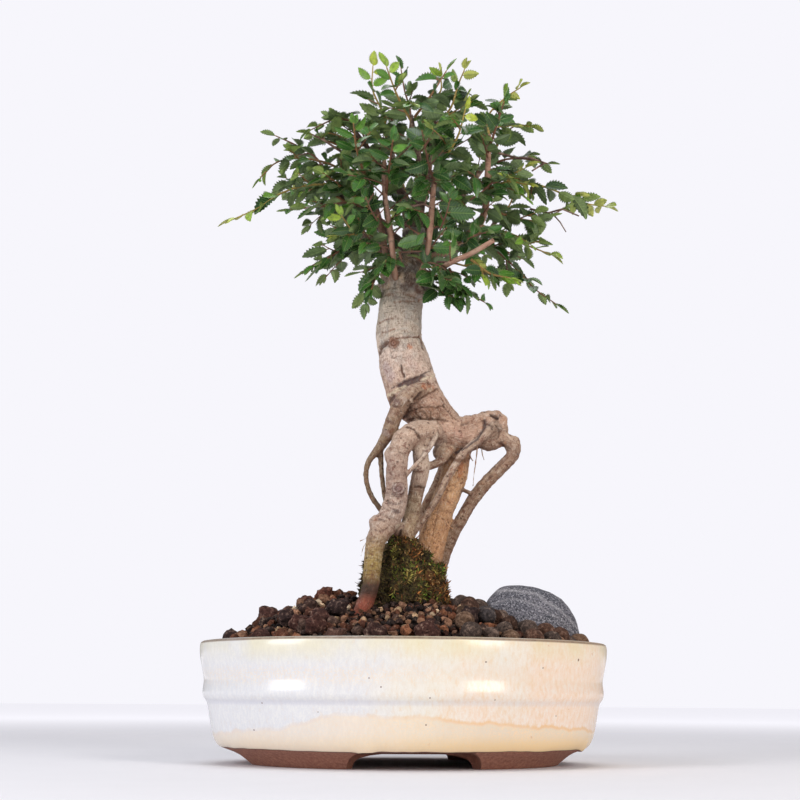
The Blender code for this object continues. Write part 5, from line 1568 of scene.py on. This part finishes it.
shootStations = (
    # Top
    ((-13, 16, 366), (-14, 4, 376), (-21, -3, 390), (-21, -6, 404)),
    ((13, 7, 386), (20, 2, 392), (20, 0, 401)),
    ((17, 9, 372), (26, 0, 380), (30, -4, 392), (34, -8, 401)),
    ((-2, 14, 352), (2, 2, 374), (-2, -4, 390), (-4, -6, 402)),
    # Right
    ((47, -24, 350), (48, -16, 368), (58, -16, 379), (66, -18, 384)),
    ((52, 20, 358), (58, 8, 366), (66, 2, 370), (73, 0, 368)),
    ((46, 18, 348), (58, 15, 353), (70, 15, 354), (85, 15, 351)),
    ((46, -24, 326), (66, -16, 327), (82, -9, 325), (95, -4, 322), (106, 0, 319), (117.5, 4, 319)),
    ((44, -16, 310), (60, -12, 306), (76, -8, 305), (92, -4, 314)),
    ((42, -10, 302), (58, -4, 296), (72, 0, 292), (84, 2, 288)),
    ((32, -4, 293), (50, 8, 294), (66, 11, 281), (75, 8, 269), (87, 6, 259)),
    ((36, -30, 273), (46, -30, 265), (57, -31, 262)),
    ((24, -23, 270), (27, -25, 262), (29, -26, 253)),
    # Left
    ((-16, -19, 300), (-36, -21, 319), (-56, -23, 320), (-72, -25, 314), (-84, -26, 305), (-98, -28, 297)),
    ((-32, 3, 318), (-50, -4, 325), (-66, -8, 322)),
    ((-30, 3, 332), (-44, -8, 339), (-62, -13, 341), (-76, -16, 337), (-85, -17, 327)),
    ((-46, 4, 334), (-54, 6, 349), (-66, 5, 357), (-79, 4, 363)),
    ((-22, 8, 354), (-30, -6, 366), (-43, -10, 367), (-56, -12, 360)),
    ((-28, 2, 361), (-40, 1, 356), (-50, -1, 359), (-57, -3, 361)),
    ((-12, -15, 284), (-26, -17, 286), (-40, -18, 281), (-54, -18, 273)),
    ((-9, -13, 277), (-16, -21, 270), (-19, -23, 260)),
    ((-16, -21, 302), (-32, -26, 308), (-48, -28, 305), (-66, -28, 303)),
    ((-44, 4, 330), (-62, 11, 334), (-76, 14, 330)),
    # Front
    ((-22, -25, 320), (-28, -40, 332), (-30, -52, 344)),
    ((-12, -31, 310), (-10, -48, 320), (-8, -60, 330)),
    ((16, -34, 316), (12, -48, 322), (8, -60, 336)),
    ((20, -39, 328), (28, -50, 338), (32, -57, 351)),
    ((46, -26, 338), (50, -40, 348), (54, -47, 360)),
    ((45, -20, 318), (56, -34, 318), (67, -42, 313)),
    ((3, -24, 358), (-6, -36, 370), (-12, -42, 384)),
    ((4, -26, 361), (14, -36, 371), (22, -38, 384)),
    # Back
    ((-42, 45, 331), (-57, 51, 339), (-70, 54, 350)),
    ((-30, 38, 315), (-42, 55, 318), (-50, 66, 325)),
    ((4, 59, 338), (0, 68, 352), (-4, 70, 366)),
    ((3, 44, 314), (14, 62, 321), (24, 73, 328)),
    ((57, 50, 328), (66, 57, 342), (70, 58, 357)),
    ((44, 42, 311), (60, 52, 309), (73, 57, 305)),
    ((-10, 31, 370), (-15, 42, 383), (-20, 46, 396)),
    ((-8, 27, 354), (-21, 41, 359), (-32, 50, 366)),
    ((14, 9, 356), (23, 27, 363), (29, 40, 374)),
    ((16, 10, 374), (27, 18, 384), (38, 24, 393)),
)
pictureSprays = (
    # points by column, row and mm away, youth
    (((389, 262, -16), (378, 274, -24), (372, 288, -28)), 0.3),
    (((431, 286, -12), (442, 292, -22), (456, 298, -26)), 0.2),
    (((436, 282, -14), (462, 290, -24), (484, 302, -24)), 0.3),
    (((402, 258, -14), (399, 252, -26), (402, 262, -32)), 0.1),
    (((424, 262, -16), (436, 264, -34), (446, 270, -42)), 0.1),
    (((426, 270, -16), (438, 276, -34), (450, 280, -40)), 0.1),
    (((450, 262, -20), (480, 270, -22), (506, 278, -20)), 0.8),
    (((352, 244, -20), (328, 258, -24), (308, 269, -22)), 0.5),
    (((360, 240, -24), (350, 228, -32), (342, 216, -36)), 0.8),
    (((380, 225, -30), (372, 212, -38), (366, 198, -42)), 0.2),
    (((440, 230, -30), (446, 215, -38), (450, 200, -42)), 0.2),
    (((420, 190, -36), (428, 176, -42), (440, 164, -44)), 0.1),
    (((395, 180, -36), (385, 168, -42), (372, 160, -44)), 0.3),
    (((470, 200, -28), (484, 190, -34), (496, 178, -34)), 0.3),
    (((455, 245, -26), (470, 238, -32), (486, 232, -32)), 0.3),
)
leafGaps = (
    # points by column and row, and how far around them in pixels few leaves hang in front
    (((392, 247), (388, 225), (383, 200), (382, 184)), 8),
    (((427, 256), (431, 228), (433, 206), (435, 186)), 8),
    (((485, 150), (485, 206)), 7),
    (((410, 252), (415, 232)), 15),
    (((452, 268), (472, 256), (494, 243)), 8),
    (((388, 276), (387, 256)), 6),
    (((404, 292), (404, 272)), 22),
)
leafValues = {
    "teeth": 8,  # along each side
    "widthShare": 0.55,
    "widest": (0.62, 0.76),  # powers of the outline towards foot and tip
    "thickness": 0.3 * mm,
    "length": (9.5, 15.5),  # mm
    "spacing": 4.3,  # mm along the stem
    "angle": (44, 72),  # degrees from the stem
}
shootValues = {
    "baseRadius": 0.85 * mm,
    "tipRadius": 0.35 * mm,
    "step": 2.2 * mm,
    "crownCentre": (6, 2, 312),
    "sideSpacing": 10.5 * mm,
    "sideLength": (15, 32),  # mm
    "thinFrom": (32, 88),  # mm from the crown's middle, where side twigs get short
}


def leafOutline(share):
    towardsFoot, towardsTip = leafValues["widest"]
    peak = towardsFoot / (towardsFoot + towardsTip)
    most = peak**towardsFoot * (1 - peak) ** towardsTip
    return share**towardsFoot * (1 - share) ** towardsTip / most


def leafBlade(length, width, fold, bend, twist, curl):
    count = leafValues["teeth"]
    points, uvs = [], []

    def put(across, share, below=0.0):
        y = share * length
        z = fold * abs(across) * width / 2 - bend * length * share**2 - curl * length * across * share - below
        x = across * width / 2
        turn = twist * share
        points.append(Vector((x * math.cos(turn) + z * math.sin(turn), y, z * math.cos(turn) - x * math.sin(turn))))
        uvs.append((0.5 + across / 2, share))
        return len(points) - 1

    foot, tip = put(0, 0), put(0, 1)
    upper = [foot, *(put(0, i / count) for i in range(1, count)), tip]
    lower = [foot, *(put(0, i / count, leafValues["thickness"]) for i in range(1, count)), tip]
    faces = []
    for hand in (-1, 1):
        notches = [foot, *(put(hand * leafOutline(i / count) * 0.82, i / count) for i in range(1, count)), tip]
        teeth = [put(hand * leafOutline((i + 0.78) / count) * 1.18, (i + 0.78) / count) for i in range(count)]
        for i in range(count):
            rim = [notches[i], teeth[i], notches[i + 1]]
            for middle, faceUp in ((upper, True), (lower, False)):
                face = [middle[i], *rim, middle[i + 1]]
                face = list(dict.fromkeys(face))
                if (hand > 0) != faceUp:
                    face.reverse()
                faces.append((tuple(face), faceUp))
    return points, faces, uvs


def coversLimb(where, rng):
    spot, far = pictureSpot(where)
    if far > cameraValues["distance"] + 10 * mm or rng.random() > 0.95:
        return False
    for spots, reach in leafGaps:
        for start, end in zip(spots, spots[1:]):
            first, second = Vector(start), Vector(end)
            way = second - first
            share = min(max((spot - first).dot(way) / way.length_squared, 0), 1)
            if (spot - first - way * share).length < reach:
                return True
    return False


def addLeaf(heap, foot, out, upper, length, age, rng):
    out = out.normalized()
    if coversLimb(foot + out * length * 0.55, rng):
        return
    upper = (upper - out * upper.dot(out)).normalized()
    width = length * leafValues["widthShare"] * rng.uniform(0.86, 1.12)
    points, faces, uvs = leafBlade(
        length, width, rng.uniform(0.15, 0.55), rng.uniform(-0.08, 0.38), rng.uniform(-0.6, 0.6), rng.uniform(-0.06, 0.06)
    )
    stalk = length * 0.10
    frameMatrix = Matrix((out.cross(upper), out, upper)).transposed()
    base = foot + out * stalk
    shade = rng.random()
    tones = [(age, float(faceUp), shade, 1) for _, faceUp in faces]
    heap.add([base + frameMatrix @ p for p in points], [face for face, _ in faces], tones, 1, uvs)
    stem = sweep([foot, foot + out * stalk * 0.5, base + out * 0.6 * mm], [0.36 * mm, 0.3 * mm, 0.22 * mm], 4)
    heap.add(*stem, (min(age, 0.5), 1.0, shade, 1))


def stemFrame(route, index, lean):
    along = (route[min(index + 1, len(route) - 1)] - route[max(index - 1, 0)]).normalized()
    outward = (route[index] - place(*shootValues["crownCentre"])).normalized()
    up = Vector((0, 0, 1)) + lean * outward
    if abs(along.dot(up.normalized())) > 0.93:
        up = outward + Vector((0.3, -0.4, 0))
    side = along.cross(up).normalized()
    return along, side, side.cross(along).normalized()


def leanFor(where):  # leaves at the front tip towards the viewer, as they turn to the light
    local = turnMatrix.inverted() @ (where - Vector((potX, 0, 0))) / mm
    return 0.15 + 1.1 * smoothStep(-local.y, -5, 45)


def leafyStem(heap, route, baseRadius, tipRadius, young, rng, firstLeaf, spacing, sizeShare=1.0):
    total = sum((b - a).length for a, b in zip(route, route[1:]))
    count = len(route)
    radii = [baseRadius + (tipRadius - baseRadius) * i / (count - 1) for i in range(count)]
    heap.add(*sweep(route, radii, 6), (0.9 - 0.6 * young, 1.0, rng.random(), 1), 0)
    run, nextLeaf, hand = 0.0, firstLeaf, rng.choice((-1, 1))
    for index in range(1, count):
        stretch = (route[index] - route[index - 1]).length
        while nextLeaf <= run + stretch and nextLeaf < total:
            foot = route[index - 1].lerp(route[index], (nextLeaf - run) / stretch)
            along, side, upper = stemFrame(route, index, leanFor(foot) + rng.gauss(0, 0.15))
            angle = math.radians(rng.uniform(*leafValues["angle"]))
            out = along * math.cos(angle) + side * hand * math.sin(angle)
            out += Vector((0, 0, rng.uniform(-0.45, 0.15))) + upper * rng.gauss(0, 0.18)
            upper = Matrix.Rotation(rng.gauss(0, 0.55), 3, out) @ upper
            nearTip = nextLeaf / total
            length = rng.uniform(*leafValues["length"]) * sizeShare * (1 - 0.38 * smoothStep(nearTip, 0.6, 1.0)) * mm
            age = 1 - young * smoothStep(nearTip, 0.45, 1.0) - rng.random() ** 3 * 0.35
            addLeaf(heap, foot, out, upper, length, min(max(age, 0.08), 1), rng)
            nextLeaf += spacing * rng.uniform(0.8, 1.25)
            hand = -hand
        run += stretch
    along, side, upper = stemFrame(route, count - 1, leanFor(route[-1]))
    for turn, share in ((0.0, 0.62), (0.5, 0.45)):
        out = along + side * turn + Vector((0, 0, rng.uniform(-0.2, 0.2)))
        age = max(0.08, 1 - young * 1.05)
        addLeaf(heap, route[-1], out, upper, rng.uniform(*leafValues["length"]) * share * sizeShare * mm, age, rng)


def sideTwigs(heap, route, rng, young, spacing, lengths, sizeShare=1.0, start=0.12):
    total = sum((b - a).length for a, b in zip(route, route[1:]))
    run, nextTwig, hand = 0.0, total * start + rng.uniform(0, spacing * 0.5), rng.choice((-1, 1))
    for index in range(1, len(route)):
        stretch = (route[index] - route[index - 1]).length
        while nextTwig <= run + stretch and nextTwig < total * 0.86:
            foot = route[index - 1].lerp(route[index], (nextTwig - run) / stretch)
            along, side, upper = stemFrame(route, index, 0.5)
            angle = math.radians(rng.uniform(38, 66))
            out = (along * math.cos(angle) + side * hand * math.sin(angle) + upper * rng.uniform(-0.35, 0.5)).normalized()
            far = (foot - place(*shootValues["crownCentre"])).length / mm
            thin = 1 - 0.62 * smoothStep(far, *shootValues["thinFrom"])
            length = rng.uniform(*lengths) * (1 - 0.35 * nextTwig / total) * thin * mm
            bow = Vector([rng.gauss(0, 0.10) for _ in range(3)]) - Vector((0, 0, rng.uniform(0, 0.12)))
            steps = max(3, int(length / (2.6 * mm)))
            twig = [foot + out * length * i / steps + bow * length * (i / steps) ** 2 for i in range(steps + 1)]
            leafyStem(heap, twig, 0.5 * mm, 0.26 * mm, young * rng.uniform(0.5, 1.1), rng, 3 * mm, leafValues["spacing"] * 0.92 * mm, sizeShare)
            nextTwig += spacing * rng.uniform(0.75, 1.3) / thin
            hand = -hand
        run += stretch


def leafMaterial():
    material, shader, wire = newMaterial("elmLeaf", paint(52, 88, 34), IOR=1.45)
    age, faceUp, shade = channels(wire, attribute(wire, "tone"))
    blade = wire.node("UVMap", {"uv_map": "blade"})
    u, v, _ = axes(wire, blade)
    across = abs(u - 0.5) * 2
    where = objectPlace(wire)
    mottle = where.noise(420.0, 3.0)
    top = age.node("ValToRGB", {"stops": (
        (0.0, paint(204, 200, 70)), (0.14, paint(160, 190, 64)), (0.34, paint(96, 150, 46)),
        (0.62, paint(56, 108, 36)), (1.0, paint(30, 64, 29)),
    )}, {0: age})  # fmt: skip
    under = age.node("ValToRGB", {"stops": (
        (0.0, paint(200, 198, 100)), (0.3, paint(146, 168, 84)), (1.0, paint(100, 120, 80)),
    )}, {0: age})  # fmt: skip
    colour = faceUp.mix(under, top)
    colour = (shade * 0.30).mix(colour, (faceUp * 0.5 + 0.4).mix(colour, paint(84, 114, 54)))
    colour = (mottle.between(0.40, 0.66) * 0.35).mix(colour, paint(24, 48, 24))
    veinPhase = (v - across * 0.20) * 9
    vein = 1 - abs(veinPhase.maths("FRACT", veinPhase) - 0.5).between(0.0, 0.16)
    midrib = 1 - across.between(0.02, 0.09)
    lines = vein.maths("MAXIMUM", vein * (1 - across.between(0.75, 1.0)) * 0.6, midrib)
    colour = (lines * (0.42 - 0.10 * faceUp)).mix(colour, paint(150, 180, 96))
    # A pale rim along the blade's edge: painted highlight on the leaf margin.
    colour = (across.between(0.80, 1.08) * 0.40).mix(colour, paint(146, 184, 96))
    connect(shader, "Base Color", colour)
    connect(shader, "Roughness", 0.52 - faceUp * 0.30 + mottle * 0.08)
    bumped(shader, wire, (0 - lines) * (faceUp * 2 - 1) + mottle * 0.3, 0.35 * mm, 0.7)
    return material


def twigMaterial():
    material, shader, wire = newMaterial("twigBark", paint(112, 72, 52), Specular_IOR_Level=0.35)
    age, _, shade = channels(wire, attribute(wire, "tone"))
    where = objectPlace(wire)
    mottle = where.noise(900.0, 4.0, 0.65)
    colour = age.node("ValToRGB", {"stops": (
        (0.0, paint(168, 180, 84)), (0.35, paint(150, 128, 62)), (0.6, paint(112, 72, 50)), (0.9, paint(78, 54, 46)),
    )}, {0: age})  # fmt: skip
    colour = (mottle.between(0.5, 0.7) * 0.5).mix(colour, paint(64, 44, 36))
    colour = (shade * 0.25).mix(colour, paint(150, 110, 84))
    connect(shader, "Base Color", colour)
    connect(shader, "Roughness", 0.6 + mottle * 0.2)
    bumped(shader, wire, mottle, 0.12 * mm)
    return material


elmLeaf, twigBark = leafMaterial(), twigMaterial()
leafFaces = 0
for number, stations in enumerate(shootStations, 1):
    rng = random.Random(100 + number)
    heap = Heap()
    route = smoothRoute([place(*s) for s in stations], shootValues["step"])
    young = 0.95 if number in (1, 2, 3, 5, 8, 14, 27, 29) else rng.choice((0.2, 0.35, 0.6, 0.8))
    leafyStem(heap, route, shootValues["baseRadius"], shootValues["tipRadius"], young, rng, 5 * mm, leafValues["spacing"] * mm)
    sideTwigs(heap, route, rng, young, shootValues["sideSpacing"], shootValues["sideLength"])
    shoot = heap.build(f"leafyShoot{number:02d}")
    setMaterials(shoot, twigBark, elmLeaf)
    finishPiece(shoot, [f"leafy_shoot_{number:02d}"], 50)
    leafFaces += len(shoot.data.polygons)
report(f"shoots have {leafFaces} faces")

for number, stations in enumerate(limbStations, 1):
    rng = random.Random(400 + number)
    heap = Heap()
    route, radii = stationRoute(stations, 2.2 * mm)
    sideTwigs(heap, route, rng, 0.35, 6.5 * mm, (14, 30), 1.0, 0.30)
    spray = heap.build(f"limbFoliage{number:02d}")
    setMaterials(spray, twigBark, elmLeaf)
    finishPiece(spray, (), 50)
    leafFaces += len(spray.data.polygons)
for number, (spots, young) in enumerate(pictureSprays, 1):
    rng = random.Random(700 + number)
    heap = Heap()
    route = smoothRoute([inPicture(*spot) for spot in spots], shootValues["step"])
    leafyStem(heap, route, 0.6 * mm, 0.3 * mm, young, rng, 4 * mm, leafValues["spacing"] * mm)
    sideTwigs(heap, route, rng, young, 9 * mm, (9, 16))
    spray = heap.build(f"frontSpray{number:02d}")
    setMaterials(spray, twigBark, elmLeaf)
    finishPiece(spray, (), 50)
    leafFaces += len(spray.data.polygons)
report(f"limbs have their own foliage, and all leaves have {leafFaces} faces")

sizes = {"cad": [[*cadLow], [*cadHigh]], "visual": [[*corner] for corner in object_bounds()]}
report(f"sizes are written: {sizes}")
